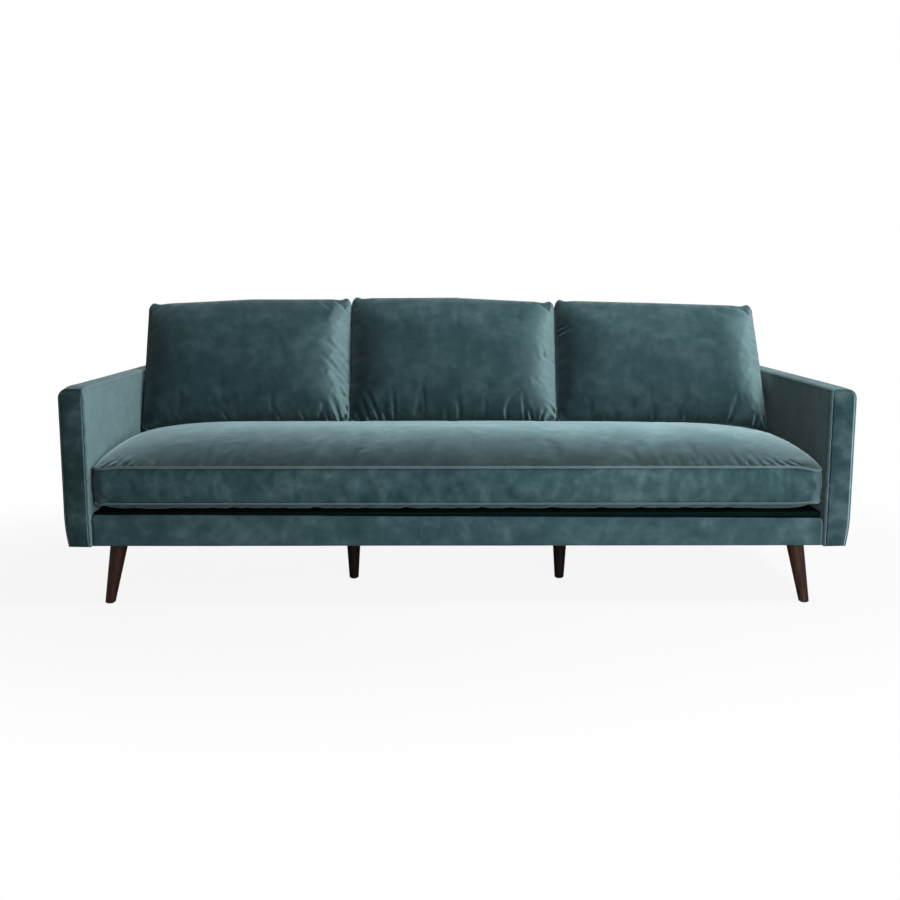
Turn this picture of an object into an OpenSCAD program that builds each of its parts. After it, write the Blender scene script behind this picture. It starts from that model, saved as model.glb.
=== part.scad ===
// Tuxedo sofa: thin arms level with the back, a long bench cushion and loose back cushions.
// Millimetres. X runs along the sofa, Y from front to back, Z up from the floor.

/* [Overall] */
// Width over the arms
sofa_w = 2200; // [1900:10:2400]
// Depth from the arm fronts to the outside back
sofa_d = 910; // [850:5:960]
// Height of the arms and of the back frame
arm_h = 620; // [600:1:680]
// Thickness of an upholstered arm
arm_t = 72; // [66:1:90]

/* [Arms] */
// Rounding of the arm's outer top edge
arm_corner_r = 26; // [20:1:34]
// Rounding of the arm's inner top edge
arm_edge_r = 5; // [3:0.5:7]
// How far the arm's outer face draws in at its lower edge
arm_tuck = 9; // [4:1:12]
// Height over which the arm's outer face draws in
arm_tuck_h = 92; // [70:1:120]

/* [Back] */
// Thickness of the back at the deck
back_foot_t = 250; // [230:1:255]
// Thickness of the back at its top edge
back_top_t = 165; // [150:1:175]
// Thickness of a plywood upright
upright_t = 22; // [18:1:27]
// Height of the lower back rail
back_rail_h = 60; // [45:1:75]
// Height of the top back rail
back_top_rail_h = 25; // [22:1:30]
// Width of a webbing strap
strap_w = 60; // [50:1:70]
// Thickness of a webbing strap
strap_t = 1.5; // [1:0.1:2]

/* [Upholstery] */
// Thickness of the velvet with its backing
cover_t = 2; // [1.5:0.1:3]
// Foam on the faces of the arms and the back
foam_t = 12; // [10:0.5:13]
// Foam on the front of the arms
arm_front_foam_t = 8; // [6:0.5:12]
// Foam on the front rail
rail_foam_t = 8; // [6:0.5:12]
// Thickness of the hardboard panels
board_t = 3; // [2.5:0.1:4]
// How far the covers hang below the wooden frame
hem_drop = 4; // [3.5:0.1:6]
// Thickness of the dust cover
dust_t = 1; // [0.8:0.1:1.5]

/* [Seat frame] */
// Set-back of the front rail cover from the arm fronts
rail_setback = 12; // [8:1:20]
// Height of the wooden seat rails
rail_h = 68; // [66:1:74]
// Thickness of the wooden seat rails
rail_t = 25; // [22:1:30]
// Width of a cross stretcher
stretcher_w = 80; // [78:1:100]
// Height of a cross stretcher
stretcher_h = 45; // [40:1:50]
// Side of a corner block
block_w = 116; // [112:1:120]
// Height of a corner block
block_h = 40; // [35:1:45]
// Chamfer on a corner block
block_chamfer = 30; // [20:1:34]
// Width of the front and rear arm posts
post_w = 70; // [60:1:90]

/* [Seat suspension] */
// Number of sinuous springs
spring_count = 10; // [8:1:12]
// Number of straight bars in one spring
spring_bars = 17; // [13:2:17]
// Spring wire diameter
spring_wire_d = 3.8; // [3.2:0.1:4.2]
// Length of a straight bar in a spring
spring_bar_l = 26; // [20:1:32]
// Thickness of the spring clip steel
clip_t = 1.5; // [1.2:0.1:2]
// Width of a spring clip
clip_w = 20; // [16:1:24]
// Diameter of the tie wires
tie_wire_d = 2.4; // [2:0.1:3]
// Thickness of the spring cloth
spring_cloth_t = 1; // [0.8:0.1:1.2]
// Thickness of the deck pad
deck_pad_t = 10; // [8:0.5:11]
// Thickness of the deck lining
deck_lining_t = 1.2; // [1:0.1:1.4]

/* [Legs] */
// Height from the floor to the leg plates
leg_h = 179; // [150:1:200]
// Leg diameter at the top
leg_top_d = 50; // [44:1:52]
// Leg diameter at the foot
leg_foot_d = 28; // [26:1:34]
// Splay of the corner legs, outward and to the front or back
leg_splay = 8.8; // [6:0.1:9]
// Distance from the sofa's side to a corner foot's centre
foot_in_x = 100; // [96:1:104]
// Distance from the sofa's front or back to a corner foot's centre
foot_in_y = 60; // [56:1:62]
// Distance from the sofa's middle to a centre leg
centre_leg_x = 320; // [280:5:360]
// Distance from the sofa's front to a centre leg
centre_leg_y = 326; // [300:1:400]
// Side of a leg plate
plate_w = 76; // [74:1:78]
// Thickness of a leg plate
plate_t = 3; // [2.5:0.1:3]
// Distance from a plate's middle to its screws, along each side
screw_offset = 30; // [29:0.5:31]
// Screw shank diameter
screw_d = 4; // [3.5:0.1:4.5]
// Screw length below the head
screw_l = 16; // [12:1:20]
// Screw head diameter
screw_head_d = 8; // [7.5:0.1:8.5]
// Hanger bolt diameter
bolt_d = 8; // [6:0.5:10]
// Length of the hanger bolt inside the leg
bolt_in_leg = 35; // [30:1:40]
// Length of the hanger bolt above the leg
bolt_above = 20; // [16:1:24]
// Diameter of the leg plate's threaded boss
boss_d = 14; // [13:0.5:16]
// Height of the leg plate's threaded boss
boss_h = 9; // [8:0.5:10]
// Glide diameter
glide_d = 22; // [18:1:25]
// Glide thickness
glide_t = 3; // [2:0.5:4]

/* [Seat cushion] */
// Clearance between the seat cushion and each arm
seat_side_gap = 6; // [3:1:20]
// Set-back of the seat cushion's front from the arm fronts
seat_front_y = 3; // [1:1:15]
// Clearance between the seat cushion and the inside back
seat_rear_gap = 5; // [2:1:17]
// Corner radius of the seat cushion
seat_corner_r = 40; // [30:1:60]
// Height of the boxing between its two seams
boxing_h = 102; // [90:1:110]
// Height of the crown above the top seam
seat_crown = 82; // [70:1:86]
// Depth of the belly below the bottom seam
seat_belly = 30; // [24:1:34]
// How far the boxing swells past its seams
boxing_swell = 3; // [2:0.5:5]
// Distance from the side over which the crown rises
seat_side_reach = 150; // [120:5:200]
// Distance from the edge over which the belly falls
seat_belly_reach = 110; // [90:5:150]

/* [Back cushions] */
// Space between an outer back cushion's corners and the arm
back_end_gap = 2.5; // [1:0.5:30]
// Seam-to-seam height of a back cushion
back_cushion_h = 428; // [390:1:440]
// Swell of the front of a back cushion
back_cushion_front = 90; // [70:1:100]
// Swell of the rear of a back cushion
back_cushion_rear = 128; // [110:1:128]
// Distance from a side seam over which a back cushion swells
back_cushion_reach = 270; // [200:5:320]
// Corner radius of a back cushion
back_cushion_r = 26; // [18:1:40]
// How far the sides draw in between the corners
back_cushion_draw = 4; // [2:1:14]
// Distance from the inside back at the deck to the bottom seam of the back cushions
back_cushion_in = 110; // [100:1:115]
// Height of the back cushions' bottom seam above the seat cushion's top seam
back_cushion_rise = 55.7; // [55:0.1:70]
// Lean of the back cushions
back_cushion_lean = 21; // [18:0.5:22]
// Space between two back cushions at their corners
back_cushion_gap = 1; // [0.5:0.5:6]
// Thickness of a cushion cover with its wrap
cushion_cover_t = 3; // [2:0.5:5]

/* [Hidden] */

// Overrun of every cut
cut = 1;
// Clearance of a bolt in its boss and of a screw in its hole, on the diameter
hole_fit = 0.2;
// Space between soft pieces that lie on each other
soft_fit = 0.4;
// Space between the raked cover and its filling
skin_fit = 0.02;
// Space between a cushion cover and what fills it
fill_fit = 0.5;
// Clearance round a leg plate in the dust cover and round its boss in the wood
plate_fit = 1;
// Space between the deck and the lower edge of the inside back's cover
back_foot_gap = 1;
// Space between that edge and the lower back rail
back_rail_gap = 4;
// How far the deck lies on the front rail
deck_rest = 14.5;
// How far the eye of a front spring clip stands inside the rail's edge
clip_set = 4;
// How far a tie wire runs past the outer springs
tie_wire_end = 20;

// Heights of the stack over the legs
wood_z = leg_h + plate_t;
hem_z = wood_z - hem_drop;
rail_top = wood_z + rail_h;
spring_z = rail_top + clip_t + spring_wire_d / 2;
tie_wire_z = spring_z + spring_wire_d / 2 + tie_wire_d / 2;
cloth_z = tie_wire_z + tie_wire_d / 2;
pad_z = cloth_z + spring_cloth_t;
lining_z = pad_z + deck_pad_t;
deck_z = lining_z + deck_lining_t;

// Faces of the arm, from the sofa's middle
arm_out = sofa_w / 2;
arm_in = arm_out - arm_t;
block_out = arm_out - cover_t - foam_t;
block_in = arm_in + cover_t + foam_t;
wood_out = block_out - board_t;
wood_in = block_in + board_t;
block_front = cover_t + arm_front_foam_t;
block_rear = sofa_d - cover_t - board_t;
block_top = arm_h - cover_t - foam_t;
tuck_r = (arm_tuck_h * arm_tuck_h + arm_tuck * arm_tuck) / (2 * arm_tuck);

// The inside back, from the front
back_foot_y = sofa_d - back_foot_t;
back_top_y = sofa_d - back_top_t;

// Seat frame faces, from the front
rail_cover_y = rail_setback;
rail_foam_y = rail_cover_y + cover_t;
front_rail_y = rail_foam_y + rail_foam_t;
rear_rail_y = back_foot_y + cover_t + foam_t + strap_t - rail_t;
tail_rail_y = block_rear - rail_t;
upright_y = rear_rail_y + rail_t;
front_clip_y = front_rail_y + rail_t - clip_set;
rear_clip_y = rear_rail_y + rail_t / 2;
deck_front_y = front_rail_y + rail_t - deck_rest;
deck_rear_y = upright_y - rail_t / 4;
deck_half_w = arm_in - cover_t;

// The raked inside back
back_foot_z = deck_z + back_foot_gap;
rake = (back_top_y - back_foot_y) / (arm_h - back_foot_z);
rake_stretch = sqrt(1 + rake * rake);
webbing_in = cover_t + foam_t;
frame_in = webbing_in + strap_t;
back_rail_z = back_foot_z + back_rail_gap;
inner_upright_share = 0.156;
upright_x = [upright_t / 2 - wood_in, -sofa_w * inner_upright_share, sofa_w * inner_upright_share,
             wood_in - upright_t / 2];
// Webbing straps, in tenths of the sofa's width from the middle
strap_shares = [-0.4, -0.3, -0.1, 0, 0.1, 0.3, 0.4];

// Springs
spring_l = rear_clip_y - front_clip_y;
spring_pitch = spring_l / (spring_bars - 1);
spring_space = 2 * wood_in / spring_count;
spring_bend_r = spring_pitch / 2;
tie_wire_half = spring_x(spring_count - 1) + spring_bar_l / 2 + spring_bend_r + tie_wire_end;

// Legs: the lean of a corner leg, and how far its foot stands outside its top
foot_shift = leg_h * tan(leg_splay);
leg_tilt = atan(sqrt(2) * tan(leg_splay));
leg_len = leg_h / cos(leg_tilt);
corner_foot_x = arm_out - foot_in_x;
leg_foot_r = leg_foot_d / 2;
leg_top_r = leg_top_d / 2;
corner_legs = [[-1, -1], [1, -1], [-1, 1], [1, 1]];

// Seat cushion
seat_half_w = arm_in - seat_side_gap;
seat_half_d = (back_foot_y - seat_rear_gap - seat_front_y) / 2;
seat_mid_y = seat_front_y + seat_half_d;
seat_low_seam = deck_z + soft_fit + seat_belly;
seat_high_seam = seat_low_seam + boxing_h;

// Back cushions: three between the arms
back_cushion_w = (2 * (arm_in - back_end_gap) - 2 * back_cushion_gap) / 3;
back_pitch = back_cushion_w + back_cushion_gap;
back_cushion_y = back_foot_y - back_cushion_in;
back_cushion_z = seat_high_seam + back_cushion_rise;

// Shares of the half depth at which the rings of a cushion lie, from the seam inwards
ring_share = [0.02, 0.06, 0.13, 0.25, 0.42, 0.64, 0.87];
belly_ring_share = [0.04, 0.12, 0.28, 0.7];
plain_ring_share = [0.1, 0.35, 0.8];
// Shares of the boxing's height at which its two waist rings lie
waist_ring_share = [0.3, 0.7];
// Largest share of the half depth left that a ring's corners may take
ring_corner_share = 0.92;
// Share of a ring's inset by which its corners grow rounder
ring_round_share = 0.8;
// How full and how blunt each swell is
seat_side_swell = [3, 0.45];
seat_depth_swell = [2.6, 0.9];
belly_swell = [2, 0.6];
back_swell = [2.3, 0.5];

velvet = [0.22, 0.32, 0.34];
velvet_light = [0.30, 0.41, 0.43];
foam_colour = [0.93, 0.88, 0.70];
beech = [0.79, 0.63, 0.43];
plywood = [0.85, 0.71, 0.50];
walnut = [0.22, 0.15, 0.12];
steel = [0.62, 0.63, 0.65];
black_cloth = [0.08, 0.08, 0.09];
hessian = [0.66, 0.56, 0.40];

// Outlines: a polygon with some of its corners rounded

function unit(v) = v / norm(v);
function turn(a, b) = (b - a + 540) % 360 - 180;
function sweep_arc(c, r, a0, a1, n) =
  [for (i = [0:n]) let (a = a0 + turn(a0, a1) * i / n) c + r * [cos(a), sin(a)]];
function rounded_corner(a, p, b, r, n) =
  r <= 0 ? [p] :
  let (u = unit(a - p), v = unit(b - p), half = acos(u * v) / 2)
  let (c = p + unit(u + v) * r / sin(half))
  let (t1 = p + u * r / tan(half) - c, t2 = p + v * r / tan(half) - c)
  sweep_arc(c, r, atan2(t1[1], t1[0]), atan2(t2[1], t2[0]), n);
function rounded(pts, radii, n) =
  let (m = len(pts))
  [for (i = [0:m - 1]) each rounded_corner(pts[(i + m - 1) % m], pts[i], pts[(i + 1) % m], radii[i], n)];

// The arm seen from the front, inset by t. It runs on below the hem, where the side view cuts it.
function arm_section(t) =
  let (z = hem_z - hem_drop, c = [arm_out - tuck_r, hem_z + arm_tuck_h], low = asin((c[1] - z) / (tuck_r - t)))
  concat(
    [for (i = [0:6]) let (a = -low * (1 - i / 6)) c + (tuck_r - t) * [cos(a), sin(a)]],
    sweep_arc([arm_out - arm_corner_r, arm_h - arm_corner_r], arm_corner_r - t, 0, 90, 8),
    sweep_arc([arm_in + arm_edge_r, arm_h - arm_edge_r], arm_edge_r - t, 90, 180, 3),
    [[arm_in + t, z]]);

// The arm seen from the side, inset by t, with its lower edge at z
function arm_side(t, z) =
  rounded([[t, z], [sofa_d - t, z], [sofa_d - t, arm_h - t], [t, arm_h - t]],
          [0, 0, arm_edge_r - t, arm_edge_r - t], 3);

// The back seen from the side, with its raked face, top and outside inset by their own amounts
function rake_y(z) = back_foot_y + (z - back_foot_z) * rake;
function back_section(face, top, rear, z, low) =
  rounded([[rake_y(z) + face * rake_stretch, z],
           [rake_y(arm_h - top) + face * rake_stretch, arm_h - top],
           [sofa_d - rear, arm_h - top], [sofa_d - rear, low]],
          [0, max(0, arm_corner_r / 3 - top), max(0, arm_edge_r - top), 0], 4);

module along_x(x0, x1) {
  translate([x0, 0, 0]) rotate([90, 0, 90]) linear_extrude(x1 - x0) children();
}
module along_y(y0, y1) {
  translate([0, y1, 0]) rotate([90, 0, 0]) linear_extrude(y1 - y0) children();
}
module span(x, y, z) {
  translate([x[0], y[0], z[0]]) cube([x[1] - x[0], y[1] - y[0], z[1] - z[0]]);
}
// From the working origin at the arm fronts to the middle of the footprint
module placed() {
  translate([0, -sofa_d / 2, 0]) children();
}
module on_side(side) {
  placed() mirror([side < 0 ? 1 : 0, 0, 0]) children();
}

// Seat frame

module seat_rail(y) {
  placed() span([-wood_in, wood_in], [y, y + rail_t], [wood_z, rail_top]);
}
module front_rail() {
  color(beech) seat_rail(front_rail_y);
}
module rear_rail() {
  color(beech) seat_rail(rear_rail_y);
}
module outside_back_rail() {
  color(beech) seat_rail(tail_rail_y);
}
module end_rail(side) {
  color(beech) on_side(side)
    span([wood_in, wood_out], [block_front + post_w, block_rear - post_w], [wood_z, rail_top]);
}
module cross_stretchers() {
  color(beech) difference() {
    placed() for (x = [-centre_leg_x, centre_leg_x])
      span([x - stretcher_w / 2, x + stretcher_w / 2], [front_rail_y + rail_t, rear_rail_y],
           [wood_z, wood_z + stretcher_h]);
    leg_mount_holes();
  }
}
module corner_block(x1, y0, inner) {
  x0 = wood_in - block_w;
  y1 = y0 + block_w;
  translate([0, 0, wood_z]) linear_extrude(block_h)
    polygon(inner > 0 ?
      [[x0, y0], [x1, y0], [x1, y1], [x0 + block_chamfer, y1], [x0, y1 - block_chamfer]] :
      [[x0, y0 + block_chamfer], [x0 + block_chamfer, y0], [x1, y0], [x1, y1], [x0, y1]]);
}
module corner_blocks() {
  color(beech) difference() {
    for (side = [-1, 1]) on_side(side) {
      corner_block(wood_in, front_rail_y + rail_t, 1);
      corner_block(wood_in - upright_t, tail_rail_y - block_w, -1);
    }
    leg_mount_holes();
  }
}

// Arm frames

module front_post(side) {
  color(beech) on_side(side)
    span([wood_in, wood_out], [block_front, block_front + post_w], [wood_z, block_top - rail_t]);
}
module rear_post(side) {
  color(beech) on_side(side)
    span([wood_in, wood_out], [block_rear - post_w, block_rear], [wood_z, block_top - rail_t]);
}
module arm_top_rail(side) {
  color(beech) on_side(side)
    span([wood_in, wood_out], [block_front, block_rear], [block_top - rail_t, block_top]);
}
// Where the seat frame and the back frame pass through the inside of the arm
module inside_cut(x1) {
  span([arm_in - cut, x1], [rail_foam_y, block_rear + board_t], [hem_z - cut, rail_top]);
  along_x(arm_in - cut, x1)
    polygon(back_section(0, cover_t + foam_t, cover_t, rail_top - cut, rail_top - cut));
}
module inner_board(side) {
  color(hessian) on_side(side) difference() {
    span([block_in, wood_in], [block_front, block_rear], [wood_z, block_top]);
    inside_cut(wood_in + cut);
  }
}
module outer_board(side) {
  color(hessian) on_side(side)
    span([wood_out, block_out], [block_front, block_rear], [wood_z, block_top]);
}

// Arm upholstery

module arm_form(t, z) {
  intersection() {
    along_y(t, sofa_d - t) polygon(arm_section(t));
    along_x(arm_in - cut, arm_out + cut) polygon(arm_side(t, z));
  }
}
module arm_padding(side) {
  color(foam_colour) on_side(side) difference() {
    arm_form(cover_t, wood_z);
    span([block_in, block_out], [block_front, sofa_d], [wood_z - cut, block_top]);
    inside_cut(wood_in);
  }
}
module arm_cover(side) {
  color(velvet_light) on_side(side) difference() {
    arm_form(0, hem_z);
    arm_form(cover_t, hem_z - hem_drop);
    inside_cut(wood_in);
  }
}

// Back frame

module back_uprights() {
  color(plywood) placed() difference() {
    for (x = upright_x) along_x(x - upright_t / 2, x + upright_t / 2)
      polygon([[upright_y, wood_z], [tail_rail_y, wood_z], [tail_rail_y, rail_top],
               [block_rear, rail_top], [block_rear, block_top - back_top_rail_h],
               [rake_y(block_top - back_top_rail_h) + frame_in * rake_stretch, block_top - back_top_rail_h],
               [max(upright_y, rake_y(back_foot_z) + frame_in * rake_stretch), back_foot_z],
               [upright_y, rail_top]]);
    back_lower_rail_form();
  }
}
module back_lower_rail_form() {
  y = rake_y(back_rail_z) + frame_in * rake_stretch;
  top = back_rail_z + back_rail_h;
  along_x(-wood_in, wood_in)
    polygon([[y, back_rail_z], [y + rail_t, back_rail_z], [y + rail_t + rake * back_rail_h, top],
             [y + rake * back_rail_h, top]]);
}
module back_lower_rail() {
  color(beech) placed() back_lower_rail_form();
}
module back_top_rail() {
  color(beech) placed() along_x(-wood_in, wood_in)
    polygon([[rake_y(block_top - back_top_rail_h) + frame_in * rake_stretch, block_top - back_top_rail_h],
             [block_rear, block_top - back_top_rail_h], [block_rear, block_top],
             [rake_y(block_top) + frame_in * rake_stretch, block_top]]);
}
module outside_back_board() {
  color(hessian) placed()
    span([-arm_in, arm_in], [block_rear, block_rear + board_t], [wood_z, block_top]);
}
module back_webbing() {
  color(black_cloth) placed()
    for (share = strap_shares) let (x = share * sofa_w)
      along_x(x - strap_w / 2, x + strap_w / 2)
        polygon([[rake_y(back_rail_z) + webbing_in * rake_stretch, back_rail_z],
                 [rake_y(back_rail_z) + frame_in * rake_stretch, back_rail_z],
                 [rake_y(block_top) + frame_in * rake_stretch, block_top],
                 [rake_y(block_top) + webbing_in * rake_stretch, block_top]]);
}

// Back upholstery

module back_padding() {
  color(foam_colour) placed() along_x(-arm_in, arm_in) difference() {
    polygon(back_section(cover_t + skin_fit, cover_t + skin_fit, cover_t + board_t, back_foot_z, back_foot_z));
    polygon([[rake_y(back_foot_z - cut) + webbing_in * rake_stretch, back_foot_z - cut],
             [rake_y(block_top) + webbing_in * rake_stretch, block_top],
             [sofa_d, block_top], [sofa_d, back_foot_z - cut]]);
  }
}
module back_cover() {
  color(velvet_light) placed() along_x(-arm_in, arm_in) difference() {
    polygon(back_section(0, 0, 0, back_foot_z, hem_z));
    polygon(back_section(cover_t, cover_t, cover_t, 0, 0));
  }
}

// Front rail upholstery

module rail_wrap(y, top, rear, z) {
  along_x(-arm_in, arm_in)
    polygon(rounded([[y, z], [rear, z], [rear, top], [y, top]], [0, 0, 0, arm_edge_r - (y - rail_cover_y)], 4));
}
module rail_padding() {
  top = rail_top + rail_foam_t;
  color(foam_colour) placed() difference() {
    rail_wrap(rail_foam_y, top, deck_front_y - soft_fit, wood_z);
    span([-sofa_w, sofa_w], [front_rail_y, sofa_d], [wood_z - cut, rail_top]);
  }
}
module rail_cover() {
  top = rail_top + rail_foam_t;
  color(velvet) placed() difference() {
    rail_wrap(rail_cover_y, top + cover_t, deck_front_y - soft_fit, hem_z);
    along_x(-sofa_w, sofa_w)
      polygon(rounded([[rail_foam_y, hem_z - cut], [sofa_d, hem_z - cut], [sofa_d, top], [rail_foam_y, top]],
                      [0, 0, 0, arm_edge_r - cover_t], 4));
  }
}

// Seat suspension

function spring_x(i) = (i - (spring_count - 1) / 2) * spring_space;

module spring_bend(side) {
  rotate([0, 0, side * 90 + 180]) rotate_extrude(angle = 180, $fn = 48)
    translate([spring_bend_r, 0]) circle(d = spring_wire_d, $fn = 24);
}
module seat_spring() {
  for (i = [0:spring_bars - 1]) translate([0, i * spring_pitch, 0])
    rotate([0, 90, 0]) cylinder(d = spring_wire_d, h = spring_bar_l, center = true, $fn = 24);
  for (i = [0:spring_bars - 2]) let (side = i % 2 == 0 ? 1 : -1)
    translate([side * spring_bar_l / 2, (i + 0.5) * spring_pitch, 0]) spring_bend(side);
}
module seat_springs() {
  color(steel) placed()
    for (i = [0:spring_count - 1]) translate([spring_x(i), front_clip_y, spring_z])
      mirror([spring_x(i) < 0 ? 1 : 0, 0, 0]) seat_spring();
}
// A strip of steel folded over the end bar of a spring
module clip_profile() {
  eye = spring_wire_d / 2 + hole_fit;
  wrap = eye + clip_t;
  tail = clip_w / 2 - clip_t;
  difference() {
    union() {
      circle(r = wrap, $fn = 32);
      translate([0, -wrap]) square([tail, clip_t]);
    }
    circle(r = eye, $fn = 32);
    translate([0, -eye]) square([wrap + cut, 2 * eye]);
  }
}
module spring_clips() {
  color(steel) placed() for (i = [0:spring_count - 1]) {
    translate([spring_x(i), front_clip_y, spring_z + hole_fit])
      along_x(-spring_bar_l / 3, spring_bar_l / 3) mirror([1, 0]) clip_profile();
    translate([spring_x(i), rear_clip_y, spring_z + hole_fit])
      along_x(-spring_bar_l / 3, spring_bar_l / 3) clip_profile();
  }
}
module tie_wires() {
  color(steel) placed() for (share = [1 / 3, 2 / 3])
    translate([-tie_wire_half, front_clip_y + spring_l * share, tie_wire_z])
      rotate([0, 90, 0]) cylinder(d = tie_wire_d, h = 2 * tie_wire_half, $fn = 24);
}
module deck_layer(z, t) {
  placed() span([-deck_half_w, deck_half_w], [deck_front_y + deck_lining_t, deck_rear_y], [z, z + t]);
}
module spring_cloth() {
  color(hessian) deck_layer(cloth_z, spring_cloth_t);
}
module deck_pad() {
  color(foam_colour) deck_layer(pad_z, deck_pad_t);
}
// The lining turns down over the front edge of the pad
module deck_lining() {
  color(black_cloth) placed() difference() {
    span([-deck_half_w, deck_half_w], [deck_front_y, deck_rear_y], [rail_top, deck_z]);
    span([-sofa_w, sofa_w], [deck_front_y + deck_lining_t, sofa_d], [0, lining_z]);
  }
}

// Legs and their fixings

function leg_top(corner) =
  [corner[0] * (corner_foot_x - foot_shift),
   corner[1] < 0 ? foot_in_y + foot_shift : sofa_d - foot_in_y - foot_shift];
function leg_azimuth(corner) = atan2(-corner[1], -corner[0]);

// Puts its children on a leg's own axis, with Z running up the leg from the floor
module on_corner_axis(corner) {
  top = leg_top(corner);
  placed() translate([top[0] + corner[0] * foot_shift, top[1] + corner[1] * foot_shift, 0])
    rotate([0, leg_tilt, leg_azimuth(corner)]) children();
}
module on_centre_axis(side) {
  placed() translate([side * centre_leg_x, centre_leg_y, 0]) children();
}
module at_leg_tops() {
  for (corner = corner_legs) placed() translate([leg_top(corner)[0], leg_top(corner)[1], 0]) children();
  for (side = [-1, 1]) on_centre_axis(side) children();
}
module leg_blank(length) {
  grow = (leg_top_r - leg_foot_r) / length;
  translate([0, 0, -leg_foot_d])
    cylinder(r1 = leg_foot_r - grow * leg_foot_d, r2 = leg_top_r + grow * leg_foot_d,
             h = length + 2 * leg_foot_d, $fn = 96);
}
module leg_slab(z0, z1) {
  span([-sofa_w, sofa_w], [-sofa_d, sofa_d], [z0, z1]);
}
module bolt_bore(length) {
  translate([0, 0, length - bolt_in_leg]) cylinder(d = bolt_d + hole_fit, h = bolt_in_leg + leg_foot_d, $fn = 32);
}
module corner_leg(corner) {
  color(walnut) difference() {
    intersection() {
      on_corner_axis(corner) leg_blank(leg_len);
      leg_slab(glide_t, leg_h);
    }
    on_corner_axis(corner) bolt_bore(leg_len);
  }
}
module centre_leg(side) {
  color(walnut) difference() {
    intersection() {
      on_centre_axis(side) leg_blank(leg_h);
      leg_slab(glide_t, leg_h);
    }
    on_centre_axis(side) bolt_bore(leg_h);
  }
}
module leg_boss_shape(length, d, extra) {
  translate([0, 0, length - bolt_d]) cylinder(d = d, h = bolt_d + plate_t + boss_h + extra, $fn = 48);
}
module leg_bosses(d, extra) {
  for (corner = corner_legs) on_corner_axis(corner) leg_boss_shape(leg_len, d, extra);
  for (side = [-1, 1]) on_centre_axis(side) leg_boss_shape(leg_h, d, extra);
}
module screw_shanks(d, l) {
  at_leg_tops() for (x = [-screw_offset, screw_offset], y = [-screw_offset, screw_offset])
    translate([x, y, leg_h]) cylinder(d = d, h = l, $fn = 24);
}
module screw_heads(d, extra) {
  at_leg_tops() for (x = [-screw_offset, screw_offset], y = [-screw_offset, screw_offset])
    translate([x, y, leg_h - extra])
      cylinder(d1 = d + 2 * extra, d2 = screw_d, h = (d - screw_d) / 2 + extra, $fn = 32);
}
// What the wood above a leg plate is drilled with
module leg_mount_holes() {
  leg_bosses(boss_d + plate_fit * 2, block_h);
  screw_shanks(screw_d + hole_fit, screw_l + cut);
}
module leg_plates() {
  color(steel) difference() {
    union() {
      at_leg_tops() translate([-plate_w / 2, -plate_w / 2, leg_h]) cube([plate_w, plate_w, plate_t]);
      intersection() {
        leg_bosses(boss_d, 0);
        leg_slab(leg_h + plate_t / 2, sofa_d);
      }
    }
    leg_bosses(bolt_d + hole_fit, boss_h);
    screw_shanks(screw_d + hole_fit, screw_l);
    screw_heads(screw_head_d + hole_fit, 0);
  }
}
module plate_screws() {
  color(steel) {
    screw_shanks(screw_d, screw_l);
    screw_heads(screw_head_d, 0);
  }
}
module leg_bolts() {
  color(steel) {
    for (corner = corner_legs) on_corner_axis(corner)
      translate([0, 0, leg_len - bolt_in_leg + cut])
        cylinder(d = bolt_d, h = bolt_in_leg - cut + bolt_above, $fn = 32);
    for (side = [-1, 1]) on_centre_axis(side)
      translate([0, 0, leg_h - bolt_in_leg + cut])
        cylinder(d = bolt_d, h = bolt_in_leg - cut + bolt_above, $fn = 32);
  }
}
module glide() {
  rim = glide_t / 3;
  cylinder(d1 = glide_d - 2 * rim, d2 = glide_d, h = rim, $fn = 48);
  translate([0, 0, rim]) cylinder(d = glide_d, h = glide_t - rim, $fn = 48);
}
module leg_glides() {
  color(black_cloth) {
    for (corner = corner_legs) placed()
      translate([corner[0] * corner_foot_x, leg_top(corner)[1] + corner[1] * foot_shift, 0]) glide();
    for (side = [-1, 1]) on_centre_axis(side) glide();
  }
}
module dust_cover() {
  color(black_cloth) difference() {
    placed() span([-wood_in, wood_in], [front_rail_y, block_rear], [wood_z - dust_t, wood_z]);
    at_leg_tops() translate([-plate_w / 2 - plate_fit, -plate_w / 2 - plate_fit, leg_h])
      cube([plate_w + 2 * plate_fit, plate_w + 2 * plate_fit, plate_t + cut]);
  }
}

// Soft forms: rings of points round a cushion, joined into one skin of triangles

function corner_pts(cx, cy, r, a, m) = [for (j = [0:m]) [cx + r * cos(a + 90 * j / m), cy + r * sin(a + 90 * j / m)]];
function side_pts(p, q, n) = [for (j = [1:n - 1]) p + (q - p) * j / n];
function ring(a, b, r, m, nx, ny) = concat(
  corner_pts(a - r, b - r, r, 0, m), side_pts([a - r, b], [r - a, b], nx),
  corner_pts(r - a, b - r, r, 90, m), side_pts([-a, b - r], [-a, r - b], ny),
  corner_pts(r - a, r - b, r, 180, m), side_pts([r - a, -b], [a - r, -b], nx),
  corner_pts(a - r, r - b, r, 270, m), side_pts([a, r - b], [a, b - r], ny));
// Share of the full swell at a distance e from the seam
function swell(e, reach, s) = pow(1 - pow(1 - min(e / reach, 1), s[0]), s[1]);
// A ring inset by e from a rectangle of half sides a and b, rounder the further in it lies
function inset_ring(a, b, e, r, m, nx, ny) =
  ring(a - e, b - e, min(r + e * ring_round_share, (b - e) * ring_corner_share), m, nx, ny);

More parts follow.
